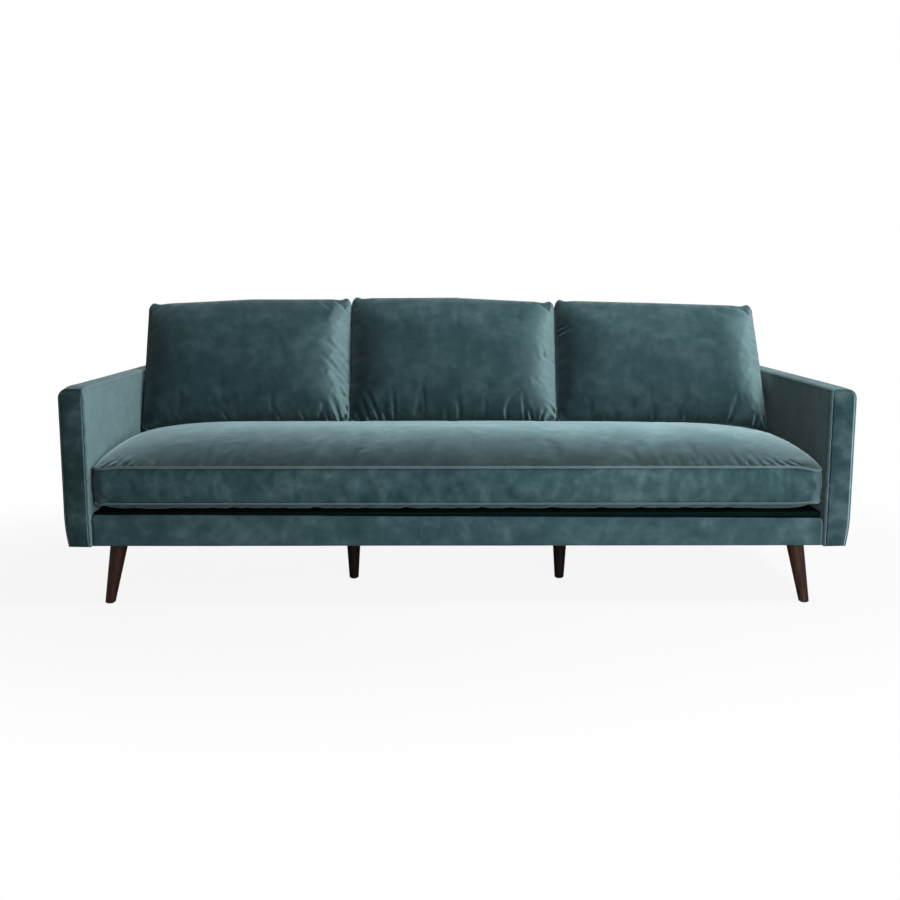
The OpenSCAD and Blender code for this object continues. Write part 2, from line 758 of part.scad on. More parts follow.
module skin(rings, low, high) {
  n = len(rings[0]);
  m = len(rings);
  pts = concat([low], [for (r = rings) each r], [high]);
  faces = concat(
    [for (i = [0:n - 1]) [0, 1 + i, 1 + (i + 1) % n]],
    [for (j = [0:m - 2]) for (i = [0:n - 1]) let (p = 1 + j * n, q = (i + 1) % n)
      each [[p + i, p + n + i, p + q], [p + q, p + n + i, p + n + q]]],
    [for (i = [0:n - 1]) [m * n + 1, 1 + (m - 1) * n + (i + 1) % n, 1 + (m - 1) * n + i]]);
  polyhedron(points = pts, faces = faces);
}

// The seat cushion, inset by t; fine is true for the outside
function seat_top_z(x, y, a, b, t) =
  seat_high_seam + (seat_crown - t) * swell(a - abs(x), seat_side_reach, seat_side_swell)
    * swell(b - abs(y), b, seat_depth_swell);
function seat_low_z(x, y, a, b, t) =
  seat_low_seam - (seat_belly - t) * swell(a - abs(x), seat_belly_reach, belly_swell)
    * swell(b - abs(y), seat_belly_reach, belly_swell);
module seat_form(t, fine) {
  a = seat_half_w - t;
  b = seat_half_d - t;
  m = fine ? 3 : 1;
  nx = fine ? 12 : 6;
  ny = fine ? 6 : 3;
  top = fine ? ring_share : plain_ring_share;
  low = fine ? belly_ring_share : plain_ring_share;
  seam = ring(a - boxing_swell, b - boxing_swell, seat_corner_r, m, nx, ny);
  waist = ring(a, b, seat_corner_r, m, nx, ny);
  rings = concat(
    [for (i = [len(low) - 1:-1:0]) let (e = boxing_swell + low[i] * (b - boxing_swell))
      [for (p = inset_ring(a, b, e, seat_corner_r, m, nx, ny))
        [p[0], p[1], seat_low_z(p[0], p[1], a, b, t)]]],
    [[for (p = seam) [p[0], p[1], seat_low_seam]]],
    [for (share = waist_ring_share) [for (p = waist) [p[0], p[1], seat_low_seam + boxing_h * share]]],
    [[for (p = seam) [p[0], p[1], seat_high_seam]]],
    [for (i = [0:len(top) - 1]) let (e = boxing_swell + top[i] * (b - boxing_swell))
      [for (p = inset_ring(a, b, e, seat_corner_r, m, nx, ny))
        [p[0], p[1], seat_top_z(p[0], p[1], a, b, t)]]]);
  placed() translate([0, seat_mid_y, 0])
    skin(rings, [0, 0, seat_low_z(0, 0, a, b, t)], [0, 0, seat_top_z(0, 0, a, b, t)]);
}
module seat_cushion() {
  color(velvet_light) difference() {
    seat_form(0, true);
    seat_form(cushion_cover_t, false);
  }
}
module seat_foam_core() {
  color(foam_colour) seat_form(cushion_cover_t + fill_fit, false);
}

// A back cushion, inset by t. Its own X runs along the seam, Y up the lean and Z out to the front.
function drawn(p, a, b) =
  [p[0] * (1 - back_cushion_draw / a * (1 - pow(p[1] / b, 2))),
   p[1] - (p[1] > 0 ? 0 : back_cushion_draw / 4) * (p[1] / b) * (1 - pow(p[0] / a, 2))];
function swell_at(p, a, b) =
  swell(a - abs(p[0]), back_cushion_reach, back_swell) * swell(b - abs(p[1]), b, back_swell);
// Keeps a point of the cushion's rear in front of the raked inside back
function held(p, t) =
  let (up = cos(back_cushion_lean), out = sin(back_cushion_lean))
  let (mid = back_cushion_h / 2)
  let (y = back_cushion_y + (p[1] + mid) * out - p[2] * up, z = back_cushion_z + (p[1] + mid) * up + p[2] * out)
  let (over = y + soft_fit + t - rake_y(min(z, arm_h)))
  over > 0 ? [p[0], p[1], p[2] + over / up] : p;
module back_form(side, t, fine) {
  a = back_cushion_w / 2 - t;
  b = back_cushion_h / 2 - t;
  m = fine ? 3 : 1;
  nx = fine ? 8 : 4;
  ny = fine ? 6 : 3;
  shares = fine ? ring_share : plain_ring_share;
  levels = concat([for (i = [len(shares) - 1:-1:0]) -shares[i]], [0], shares);
  rings = [for (s = levels) let (e = abs(s) * b, full = s < 0 ? t - back_cushion_rear : back_cushion_front - t)
    [for (p = inset_ring(a, b, e, back_cushion_r, m, nx, ny))
      let (q = drawn(p, a, b)) held([q[0], q[1], s == 0 ? 0 : full * swell_at(p, a, b)], t)]];
  placed() translate([side * back_pitch, back_cushion_y, back_cushion_z])
    rotate([90 - back_cushion_lean, 0, 0]) translate([0, back_cushion_h / 2, 0])
      skin(rings, held([0, 0, t - back_cushion_rear], t), [0, 0, back_cushion_front - t]);
}
module back_cushion(side) {
  color(velvet) difference() {
    back_form(side, 0, true);
    back_form(side, cushion_cover_t, false);
  }
}
module cushion_insert(side) {
  color(foam_colour) back_form(side, cushion_cover_t + fill_fit, false);
}

front_rail();
rear_rail();
outside_back_rail();
end_rail(-1);  // left_end_rail
end_rail(1);  // right_end_rail
cross_stretchers();
corner_blocks();
front_post(-1);  // left_front_post
rear_post(-1);  // left_rear_post
front_post(1);  // right_front_post
rear_post(1);  // right_rear_post
arm_top_rail(-1);  // left_arm_top_rail
arm_top_rail(1);  // right_arm_top_rail
inner_board(-1);  // left_inner_board
inner_board(1);  // right_inner_board
outer_board(-1);  // left_outer_board
outer_board(1);  // right_outer_board
back_uprights();
back_top_rail();
back_lower_rail();
outside_back_board();
back_webbing();
seat_springs();
spring_clips();
tie_wires();
spring_cloth();
deck_pad();
deck_lining();
arm_padding(-1);  // left_arm_padding
arm_padding(1);  // right_arm_padding
back_padding();
rail_padding();
arm_cover(-1);  // left_arm_cover
arm_cover(1);  // right_arm_cover
back_cover();
rail_cover();
dust_cover();
corner_leg([-1, -1]);  // left_front_leg
corner_leg([1, -1]);  // right_front_leg
centre_leg(-1);  // left_centre_leg
centre_leg(1);  // right_centre_leg
corner_leg([-1, 1]);  // left_rear_leg
corner_leg([1, 1]);  // right_rear_leg
leg_plates();
plate_screws();
leg_bolts();
leg_glides();
seat_cushion();
seat_foam_core();
back_cushion(-1);  // left_back_cushion
back_cushion(0);  // centre_back_cushion
back_cushion(1);  // right_back_cushion
cushion_insert(-1);  // left_cushion_insert
cushion_insert(0);  // centre_cushion_insert
cushion_insert(1);  // right_cushion_insert
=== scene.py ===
import math
import bpy
import numpy as np
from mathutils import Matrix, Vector, noise


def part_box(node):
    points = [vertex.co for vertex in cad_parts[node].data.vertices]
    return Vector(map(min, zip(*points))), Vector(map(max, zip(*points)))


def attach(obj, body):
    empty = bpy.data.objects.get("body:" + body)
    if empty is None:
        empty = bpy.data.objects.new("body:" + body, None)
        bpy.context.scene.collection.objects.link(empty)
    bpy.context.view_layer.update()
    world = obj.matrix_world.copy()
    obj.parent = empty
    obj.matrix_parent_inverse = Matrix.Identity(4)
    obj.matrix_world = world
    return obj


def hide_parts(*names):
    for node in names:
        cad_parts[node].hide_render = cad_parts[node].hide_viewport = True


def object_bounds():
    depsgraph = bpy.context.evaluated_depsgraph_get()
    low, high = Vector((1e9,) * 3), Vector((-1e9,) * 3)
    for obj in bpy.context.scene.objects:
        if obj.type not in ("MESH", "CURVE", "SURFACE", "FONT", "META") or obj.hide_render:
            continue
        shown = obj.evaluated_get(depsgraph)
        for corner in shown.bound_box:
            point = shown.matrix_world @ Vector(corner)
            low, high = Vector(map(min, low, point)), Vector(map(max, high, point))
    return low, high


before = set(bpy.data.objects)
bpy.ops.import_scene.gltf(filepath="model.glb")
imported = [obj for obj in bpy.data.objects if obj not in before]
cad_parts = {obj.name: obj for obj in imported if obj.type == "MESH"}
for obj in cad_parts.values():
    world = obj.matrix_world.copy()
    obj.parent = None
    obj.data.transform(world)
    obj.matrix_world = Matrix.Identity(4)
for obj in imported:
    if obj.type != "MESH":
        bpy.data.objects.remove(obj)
cadLow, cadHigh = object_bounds()
print("frame loaded")


# small helpers for meshes

mm = 0.001
nearZero = 1e-12
noiseLook = {"seedStep": 17.3, "gain": 1.6}
blurStep = 0.2
foldLook = {"bend": 0.10, "bendTurn": 0.7, "narrow": 0.55, "widens": 0.6, "opens": 5, "openAt": 0.8,
            "ridge": 0.5, "ridgeAt": 1.8}


def smoothStep(t):
    t = np.clip(t, 0, 1)
    return t * t * (3 - 2 * t)


def noiseAt(points, size, seed):
    # one smooth random value for each point, about -1 to 1, with features of that size
    flat = np.asarray(points, float).reshape(-1, 3) / size + seed * noiseLook["seedStep"]
    values = np.array([noise.noise(Vector(p)) for p in flat])
    return values.reshape(np.asarray(points).shape[:-1]) * noiseLook["gain"]


def newMesh(name, verts, faces):
    mesh = bpy.data.meshes.new(name)
    mesh.from_pydata(np.asarray(verts, float).tolist(), [], [list(map(int, f)) for f in faces])
    return mesh


def linkedObject(name, data):
    body = bpy.data.objects.new(name, data)
    bpy.context.scene.collection.objects.link(body)
    return body


def newPiece(name, verts, faces, body, materials, replaces=()):
    mesh = newMesh(name, verts, faces)
    mesh.validate()
    for polygon in mesh.polygons:
        polygon.use_smooth = True
    piece = linkedObject(name, mesh)
    for material in materials:
        mesh.materials.append(material)
    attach(piece, body)
    if replaces:
        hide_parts(*replaces)
    return piece


def shareOut(piece, *counts):
    # gives the faces their materials, in order; each entry is a material's number and its count of faces
    numbers = [number for number, count in counts for _ in range(count)]
    piece.data.polygons.foreach_set("material_index", numbers)


def thicken(piece, thickness):
    # gives a sheet of cloth its thickness, towards what it covers
    modifier = piece.modifiers.new("thickness", "SOLIDIFY")
    modifier.thickness = thickness
    modifier.offset = -1


def numbered(rows, columns, start=0):
    return start + np.arange(rows * columns).reshape(rows, columns)


def gridFaces(index, closed=False):
    # quads of a table of vertex numbers, facing along the cross product of its columns and rows
    faces = []
    rows, columns = index.shape
    for r in range(rows - 1):
        for c in range(columns if closed else columns - 1):
            d = (c + 1) % columns
            faces.append((index[r, c], index[r, d], index[r + 1, d], index[r + 1, c]))
    return faces


def flipped(faces):
    return [f[::-1] for f in faces]


def facingOut(verts, faces, centre):
    # turns all the faces round if they look at the centre
    corners = np.array([[verts[f[0]], verts[f[1]], verts[f[2]]] for f in faces])
    normals = np.cross(corners[:, 1] - corners[:, 0], corners[:, 2] - corners[:, 0])
    away = corners.mean(1) - np.asarray(centre)
    return faces if (normals * away).sum() > 0 else flipped(faces)


def unit(vectors):
    return vectors / np.maximum(np.linalg.norm(vectors, axis=-1, keepdims=True), nearZero)


def gridNormals(points):
    return unit(np.cross(np.gradient(points, axis=1), np.gradient(points, axis=0)))


def refineLine(points, axis, closed=False):
    # doubles a table of points along one axis, with a cubic through its neighbours
    p = np.moveaxis(points, axis, 0)
    if closed:
        padded = np.concatenate([p[-1:], p, p[:2]])
    else:
        padded = np.concatenate([2 * p[:1] - p[1:2], p, 2 * p[-1:] - p[-2:-1]])
    middle = (-padded[:-3] + 9 * padded[1:-2] + 9 * padded[2:-1] - padded[3:]) / 16
    out = np.empty((len(p) + len(middle),) + p.shape[1:])
    out[0::2] = p
    out[1::2] = middle
    return np.moveaxis(out, 0, axis)


def refineGrid(points):
    return refineLine(refineLine(points, 0), 1)


def blurGrid(values, passes):
    # smooths a table of moves, and leaves its border where it is
    v = values.copy()
    for _ in range(passes):
        around = v[:-2, 1:-1] + v[2:, 1:-1] + v[1:-1, :-2] + v[1:-1, 2:]
        v[1:-1, 1:-1] += blurStep * (around - 4 * v[1:-1, 1:-1])
    return v


def roundedGrid(a, b, r, nx, ny, bunch=1.25):
    # a table of points over a rectangle of half sides a and b, whose corners are rounded
    def spread(n):
        t = np.linspace(-1, 1, n + 1)
        return np.sign(t) * (1 - (1 - np.abs(t)) ** bunch)
    x, y = np.meshgrid(a * spread(nx), b * spread(ny))
    dx = np.maximum(np.abs(x) - (a - r), 0) / r
    dy = np.maximum(np.abs(y) - (b - r), 0) / r
    both = (dx > 0) & (dy > 0)
    newX = np.sign(x) * (a - r + r * dx * np.sqrt(1 - dy * dy / 2))
    newY = np.sign(y) * (b - r + r * dy * np.sqrt(1 - dx * dx / 2))
    return np.where(both, newX, x), np.where(both, newY, y)


def fullness(e, reach, full):
    # share of the full swell at a distance e from a seam
    return np.power(np.maximum(1 - np.power(1 - np.clip(e / reach, 0, 1), full[0]), 0), full[1])


def borderOf(table):
    # once round a table, anticlockwise from its first corner
    return np.concatenate([table[0, :-1], table[:-1, -1], table[-1, :0:-1], table[:0:-1, 0]])


def cushionMesh(front, rear, band=None):
    # joins a front table, a rear table and the rows of a boxing into one closed skin
    rows, columns = front.shape[:2]
    frontIndex = numbered(rows, columns)
    verts = [front.reshape(-1, 3)]
    count = rows * columns
    rearBorder = borderOf(frontIndex)
    bandIndex = None
    if band is not None:
        bandIndex = np.concatenate([rearBorder[None], numbered(len(band) - 1, len(rearBorder), count)])
        verts.append(band[1:].reshape(-1, 3))
        count += bandIndex[1:].size
        rearBorder = bandIndex[-1]
    rearIndex = np.full((rows, columns), -1)
    rearIndex[1:-1, 1:-1] = numbered(rows - 2, columns - 2, count)
    rearIndex.flat[borderOf(frontIndex)] = rearBorder
    verts.append(rear[1:-1, 1:-1].reshape(-1, 3))
    faces = gridFaces(frontIndex) + flipped(gridFaces(rearIndex))
    if band is not None:
        faces += flipped(gridFaces(bandIndex, closed=True))
    return np.concatenate(verts), faces, {"front": frontIndex, "rear": rearIndex, "band": bandIndex}


def splitTables(points, tables):
    band = None if tables["band"] is None else points[tables["band"]]
    return points[tables["front"]], points[tables["rear"]], band


def groove(across, ridgeAt):
    # a groove with a soft ridge on each side
    return foldLook["ridge"] * np.exp(-(np.abs(across) - ridgeAt) ** 2) - np.exp(-across ** 2)


def pressFolds(points, u, v, folds):
    # presses grooves into a table of points; u and v are its places in mm, and a fold is its start,
    # its direction in degrees, and its length, width and depth in mm
    look = foldLook
    lift = np.zeros(u.shape)
    for startU, startV, turn, length, width, depth in folds:
        c, s = math.cos(math.radians(turn)), math.sin(math.radians(turn))
        t = ((u - startU) * c + (v - startV) * s) / length
        bend = look["bend"] * length * t * t * math.sin(startU * look["bendTurn"] + turn)
        wide = width * (look["narrow"] + look["widens"] * np.clip(t, 0, 1))
        across = ((v - startV) * c - (u - startU) * s - bend) / wide
        fade = smoothStep(1 - t) * smoothStep(t * look["opens"] + look["openAt"])
        lift += depth * mm * fade * groove(across, look["ridgeAt"])
    return points + gridNormals(points) * lift[..., None]


def clothPuff(name, verts, faces, pinned, recipe):
    # swells a skin with its seams held, and returns where the cloth came to rest
    mesh = newMesh(name, verts, faces)
    body = linkedObject(name, mesh)
    group = body.vertex_groups.new(name="seams")
    group.add([int(index) for index in pinned], 1.0, "REPLACE")
    modifier = body.modifiers.new("cloth", "CLOTH")
    settings = modifier.settings
    settings.quality = recipe["quality"]
    settings.mass = recipe["mass"]
    settings.tension_stiffness = settings.compression_stiffness = recipe["stiffness"]
    settings.shear_stiffness = recipe["shear"]
    settings.bending_stiffness = recipe["bending"]
    settings.vertex_group_mass = "seams"
    settings.use_pressure = True
    settings.uniform_pressure_force = recipe["pressure"]
    settings.shrink_min = -recipe["spareCloth"]
    settings.effector_weights.gravity = 0
    modifier.collision_settings.use_collision = False
    modifier.point_cache.frame_start = 1
    modifier.point_cache.frame_end = recipe["frames"]
    scene = bpy.context.scene
    for step in range(1, recipe["frames"] + 1):
        scene.frame_set(step)
    result = body.evaluated_get(bpy.context.evaluated_depsgraph_get())
    out = np.empty(len(verts) * 3)
    result.data.vertices.foreach_get("co", out)
    out = out.reshape(-1, 3)
    scene.frame_set(1)
    bpy.data.objects.remove(body)
    bpy.data.meshes.remove(mesh)
    move = out - verts
    length = np.linalg.norm(move, axis=1, keepdims=True)
    return verts + move * np.minimum(1, recipe["cap"] / np.maximum(length, nearZero))


def keepWrinkles(shaped, puffed, passes, share, growth):
    # keeps the drawn form, with a share of the simulated cloth's folds and of its growth
    move = puffed - shaped
    broad = blurGrid(move, passes)
    return shaped + (move - broad) * np.asarray(share)[..., None] + broad * growth


def sweepTube(path, outward, width, height, sides=8, closed=True):
    # a flattened tube along a path; outward is the way its height stands at each point
    path, outward = np.asarray(path, float), np.asarray(outward, float)
    along = unit(np.roll(path, -1, 0) - np.roll(path, 1, 0) if closed else np.gradient(path, axis=0))
    up = unit(outward - (outward * along).sum(1, keepdims=True) * along)
    side = np.cross(along, up)
    angles = np.arange(sides) * 2 * math.pi / sides
    rings = (path[:, None] + side[:, None] * (np.cos(angles) * width / 2)[None, :, None]
             + up[:, None] * (np.sin(angles) * height / 2)[None, :, None])
    index = numbered(len(path), sides)
    table = np.concatenate([index, index[:1]]) if closed else index
    faces = flipped(gridFaces(table, closed=True))
    if not closed:
        faces += [tuple(index[0]), tuple(index[-1][::-1])]
    return rings.reshape(-1, 3), faces


def joinParts(parts):
    verts, faces, start = [], [], 0
    for v, f in parts:
        verts.append(v)
        faces += [tuple(int(i) + start for i in face) for face in f]
        start += len(v)
    return np.concatenate(verts), faces


def evenPath(path, outward, step, closed=True):
    # the same path and its outward directions, at even steps
    path, outward = np.asarray(path, float), np.asarray(outward, float)
    if closed:
        path, outward = np.concatenate([path, path[:1]]), np.concatenate([outward, outward[:1]])
    run = np.concatenate([[0], np.cumsum(np.linalg.norm(np.diff(path, axis=0), axis=1))])
    count = max(2, int(round(run[-1] / step)))
    where = np.linspace(0, run[-1], count, endpoint=not closed)
    even = [np.stack([np.interp(where, run, table[:, k]) for k in range(3)], 1) for table in (path, outward)]
    return even[0], even[1]


def stitchRow(path, outward, stitch, gap, thread):
    # one row of stitches: short fat threads that dip into the cloth at both ends; each ring of a stitch has
    # its share of the way along, its rise and its share of the thickness
    points, out = evenPath(path, outward, stitch + gap)
    out, along = unit(out), unit(np.roll(points, -1, 0) - points)
    side = np.cross(along, out)
    steps = ((0.0, -0.5, 0.5), (0.3, 0.35, 1.0), (0.7, 0.35, 1.0), (1.0, -0.5, 0.5))
    corners = ((1, 0), (0, 1), (-1, 0), (0, -1))
    rings = []
    for run, rise, fat in steps:
        centre = points + along * stitch * run + out * thread * rise
        rings += [centre + (side * across + out * up) * thread / 2 * fat for across, up in corners]
    one = numbered(len(steps), len(corners))
    oneFaces = flipped(gridFaces(one, closed=True)) + [tuple(one[0]), tuple(one[-1][::-1])]
    faces = [tuple(int(i) + len(rings) * k for i in f) for k in range(len(points)) for f in oneFaces]
    return np.stack(rings, 1).reshape(-1, 3), faces


# materials

toneEnds = (0.3, 0.7)


def startMaterial(name):
    material = bpy.data.materials.new(name)
    material.use_nodes = True
    tree = material.node_tree
    return material, tree, tree.nodes["Principled BSDF"]


def setInputs(tree, node, inputs):
    # links what varies over the surface, and sets what is the same all over it
    for key, value in inputs.items():
        if isinstance(value, bpy.types.NodeSocket):
            tree.links.new(value, node.inputs[key])
        else:
            node.inputs[key].default_value = value


def addNode(tree, kind, settings=None, inputs=None):
    node = tree.nodes.new(kind)
    for key, value in (settings or {}).items():
        setattr(node, key, value)
    setInputs(tree, node, inputs or {})
    return node


def objectSpace(tree, scale=(1, 1, 1)):
    place = addNode(tree, "ShaderNodeTexCoord").outputs["Object"]
    return addNode(tree, "ShaderNodeMapping", inputs={"Vector": place, "Scale": scale}).outputs["Vector"]


def noiseNode(tree, vector, scale, detail=3.0, roughness=0.5, distortion=0.0):
    return addNode(tree, "ShaderNodeTexNoise", inputs={
        "Vector": vector, "Scale": scale, "Detail": detail, "Roughness": roughness, "Distortion": distortion}
        ).outputs["Fac"]


def rampNode(tree, factor, stops):
    node = addNode(tree, "ShaderNodeValToRGB", inputs={"Fac": factor})
    elements = node.color_ramp.elements
    elements[0].position, elements[1].position = stops[0][0], stops[-1][0]
    elements[0].color, elements[1].color = (*stops[0][1], 1), (*stops[-1][1], 1)
    for place, colour in stops[1:-1]:
        elements.new(place).color = (*colour, 1)
    return node.outputs["Color"]


def twoTones(tree, factor, low, high):
    return rampNode(tree, factor, list(zip(toneEnds, (low, high))))


def greyRamp(tree, factor, stops):
    return rampNode(tree, factor, [(place, (grey, grey, grey)) for place, grey in stops])


def rangeNode(tree, value, source, target, curve="LINEAR"):
    # brings a value from its source range to its target range
    ends = zip(("From Min", "From Max", "To Min", "To Max"), (*source, *target))
    node = addNode(tree, "ShaderNodeMapRange", {"interpolation_type": curve}, {"Value": value, **dict(ends)})
    return node.outputs["Result"]


def multiplied(tree, a, b):
    settings = {"data_type": "RGBA", "blend_type": "MULTIPLY"}
    return addNode(tree, "ShaderNodeMix", settings, {0: 1.0, 6: a, 7: b}).outputs[2]


def mathNode(tree, operation, *values):
    return addNode(tree, "ShaderNodeMath", {"operation": operation}, dict(enumerate(values))).outputs[0]


def vectorNode(tree, operation, inputs):
    return addNode(tree, "ShaderNodeVectorMath", {"operation": operation}, inputs).outputs[0]


def bumpNode(tree, height, distance, strength=1.0, below=None):
    inputs = {"Height": height, "Distance": distance, "Strength": strength}
    if below is not None:
        inputs["Normal"] = below
    return addNode(tree, "ShaderNodeBump", inputs=inputs).outputs["Normal"]


# a noise is its scale, detail, roughness and distortion
velvetLook = {
    "deep": (0.012, 0.031, 0.036), "mid": (0.022, 0.048, 0.054), "worn": (0.043, 0.078, 0.085),
    "sheenRoughness": 0.42, "sheenTint": (0.66, 0.92, 0.96), "roughness": 0.88, "specular": 0.08,
    "patches": (6.5, 3, 0.5, 0.8), "crush": (24.0, 4, 0.55, 0.2), "marks": (60.0, 4, 0.6, 0.5),
    "fibres": (900.0, 2, 0.6), "streakStretch": 0.4, "napShare": 0.5, "spread": 0.13,
    "speckle": [(0.25, 0.84), (0.75, 1.16)],
    "patchRelief": 0.0050, "crushRelief": 0.0012, "markRelief": 0.0004, "fibreRelief": 0.00022,
    "fibreStrength": 0.6,
    # painted light: a light colour added to faces that point right, over this range of normal X; painted
    # shade on faces that point left starts at this normal X
    "paintedLight": (0.105, 0.162, 0.170), "lightFromRight": (0.12, 0.60), "shadeOnLeftFrom": -0.04,
}
# painted light and shade: how much lighter or darker the pile is painted on faces that point down, ahead,
# half up and up
seatSlopeShading = [(0.0, 0.15), (0.32, 0.25), (0.42, 1.20), (0.56, 1.25), (0.66, 0.70), (0.90, 0.28),
              (0.945, 0.42), (0.975, 1.10), (0.992, 2.30), (1.0, 3.30)]
backSlopeShading = [(0.45, 0.9), (0.68, 1.0), (0.80, 1.2), (0.95, 1.3)]
frameSlopeShading = [(0.3, 0.8), (0.55, 1.0), (0.70, 0.5), (0.90, 0.6), (0.98, 1.0)]


def velvetMaterial(name, lift=1.0, crushed=1.0, relief=1.0, slopeShading=None, lightFromRight=1.0, shadeOnLeft=0.45, shadeOnLeftAt=-0.6,
                   paintedLight=0.0, sheen=0.6):
    # short pile: broad patches that lie this way or that, crushed marks in them, and fine fibres;
    # painted light and shade by which way a face points: cloth that faces right gets a light colour added,
    # cloth that faces left is darkened
    look = velvetLook
    material, tree, shader = startMaterial(name)
    place = objectSpace(tree)
    patches, crush = (noiseNode(tree, place, *look[key]) for key in ("patches", "crush"))
    marks = noiseNode(tree, objectSpace(tree, scale=(1, 1, look["streakStretch"])), *look["marks"])
    fibres = noiseNode(tree, place, *look["fibres"])
    halves = (mathNode(tree, "MULTIPLY", part, look["napShare"]) for part in (patches, crush))
    nap = mathNode(tree, "ADD", *halves)
    lifted = [tuple(min(1, c * lift) for c in look[key]) for key in ("deep", "mid", "worn")]
    spread = look["spread"] / crushed
    colour = rampNode(tree, nap, [(0.5 - spread, lifted[0]), (0.5, lifted[1]), (0.5 + spread, lifted[2])])
    colour = multiplied(tree, colour, greyRamp(tree, fibres, look["speckle"]))
    # painted light and shade from the object-space normal: cloth that faces right gets a light colour added,
    # cloth that faces left is darkened
    facing = addNode(tree, "ShaderNodeSeparateXYZ", inputs={
        "Vector": addNode(tree, "ShaderNodeTexCoord").outputs["Normal"]}).outputs
    paintedLightShare = rangeNode(tree, facing["X"], look["lightFromRight"], (paintedLight, paintedLight + lightFromRight), "SMOOTHSTEP")
    paintedShading = rangeNode(tree, facing["X"], (look["shadeOnLeftFrom"], shadeOnLeftAt), (1.0, 1 - shadeOnLeft), "SMOOTHSTEP")
    # the slope table scales the colour by how far a face points up: painted light where it is above 1,
    # painted shade where it is below 1
    if slopeShading:
        upward = mathNode(tree, "MULTIPLY_ADD", facing["Z"], 0.5, 0.5)
        paintedShading = mathNode(tree, "MULTIPLY", paintedShading, greyRamp(tree, upward, slopeShading))
    # the colour darkened by the painted shading, plus the painted light colour
    dark = vectorNode(tree, "SCALE", {0: colour, "Scale": paintedShading})
    paintedLit = vectorNode(tree, "SCALE", {0: look["paintedLight"], "Scale": paintedLightShare})
    normal = bumpNode(tree, patches, look["patchRelief"] * relief)
    normal = bumpNode(tree, crush, look["crushRelief"] * relief, below=normal)
    normal = bumpNode(tree, marks, look["markRelief"] * relief, below=normal)
    setInputs(tree, shader, {
        "Base Color": vectorNode(tree, "ADD", {0: dark, 1: paintedLit}),
        "Roughness": look["roughness"], "Specular IOR Level": look["specular"], "Sheen Weight": sheen,
        "Sheen Roughness": look["sheenRoughness"], "Sheen Tint": (*look["sheenTint"], 1),
        "Normal": bumpNode(tree, fibres, look["fibreRelief"], look["fibreStrength"], normal)})
    return material


walnutLook = {
    "grainStretch": 0.07, "grain": (150.0, 6, 0.62, 0.8), "grainRelief": 0.0006,
    "bands": (38.0, 3, 0.5, 1.4), "bandTones": [(0.35, (0.72, 0.70, 0.70)), (0.65, (1.22, 1.18, 1.15))],
    "poreStretch": 0.03, "pores": (700.0, 2, 0.5), "poreRelief": 0.0002, "reliefStrength": 0.5,
    "tones": [(0.30, (0.014, 0.006, 0.004)), (0.52, (0.036, 0.017, 0.010)), (0.74, (0.066, 0.034, 0.020))],
    "roughness": (0.42, 0.60), "specular": 0.16,
}


def walnutMaterial(name, shade=1.0):
    look = walnutLook
    material, tree, shader = startMaterial(name)
    along = objectSpace(tree, scale=(1, 1, look["grainStretch"]))
    grain, bands = (noiseNode(tree, along, *look[key]) for key in ("grain", "bands"))
    pores = noiseNode(tree, objectSpace(tree, scale=(1, 1, look["poreStretch"])), *look["pores"])
    colour = rampNode(tree, grain, [(place, tuple(c * shade for c in tone)) for place, tone in look["tones"]])
    normal = bumpNode(tree, grain, look["grainRelief"], look["reliefStrength"])
    setInputs(tree, shader, {
        "Base Color": multiplied(tree, colour, rampNode(tree, bands, look["bandTones"])),
        "Roughness": rangeNode(tree, pores, (0, 1), look["roughness"]),
        "Specular IOR Level": look["specular"],
        "Normal": bumpNode(tree, pores, look["poreRelief"], look["reliefStrength"], normal)})
    return material


paleWoodLook = {
    "grain": (60.0, 6, 0.6, 1.2), "flecks": (420.0, 2, 0.5), "roughness": 0.62, "relief": (0.0005, 0.5),
    "fleckTones": [(0.35, (0.84, 0.80, 0.76)), (0.55, (1, 1, 1))],
}


def paleWoodMaterial(name, low, high, scale=(0.06, 1, 1)):
    look = paleWoodLook
    material, tree, shader = startMaterial(name)
    along = objectSpace(tree, scale=scale)
    grain, flecks = (noiseNode(tree, along, *look[key]) for key in ("grain", "flecks"))
    colour = twoTones(tree, grain, low, high)
    setInputs(tree, shader, {
        "Base Color": multiplied(tree, colour, rampNode(tree, flecks, look["fleckTones"])),
        "Roughness": look["roughness"], "Normal": bumpNode(tree, grain, *look["relief"])})
    return material


wovenLook = {
    "wave": {"Distortion": 0.8, "Detail": 1.0, "Detail Scale": 2.0}, "ends": (0.15, 0.95), "cloudScale": 14.0,
    "clouds": [(0.3, 0.86), (0.7, 1.1)], "relief": (0.0006, 0.7),
}


def wovenMaterial(name, dark, light, threads, roughness, sheen=0.0, specular=0.5):
    look = wovenLook
    material, tree, shader = startMaterial(name)
    place = objectSpace(tree)
    inputs = {"Vector": place, "Scale": threads, **look["wave"]}
    waves = [addNode(tree, "ShaderNodeTexWave", {"bands_direction": way}, inputs).outputs["Fac"]
             for way in "XYZ"]
    weave = mathNode(tree, "MULTIPLY", mathNode(tree, "ADD", waves[0], waves[1]), waves[2])
    colour = rampNode(tree, weave, list(zip(look["ends"], (dark, light))))
    clouds = greyRamp(tree, noiseNode(tree, place, look["cloudScale"], 3), look["clouds"])
    setInputs(tree, shader, {
        "Base Color": multiplied(tree, colour, clouds), "Roughness": roughness, "Sheen Weight": sheen,
        "Specular IOR Level": specular, "Normal": bumpNode(tree, weave, *look["relief"])})
    return material


foamLook = {"clouds": (25.0, 4), "roughness": 0.9, "relief": (0.001, 0.6)}


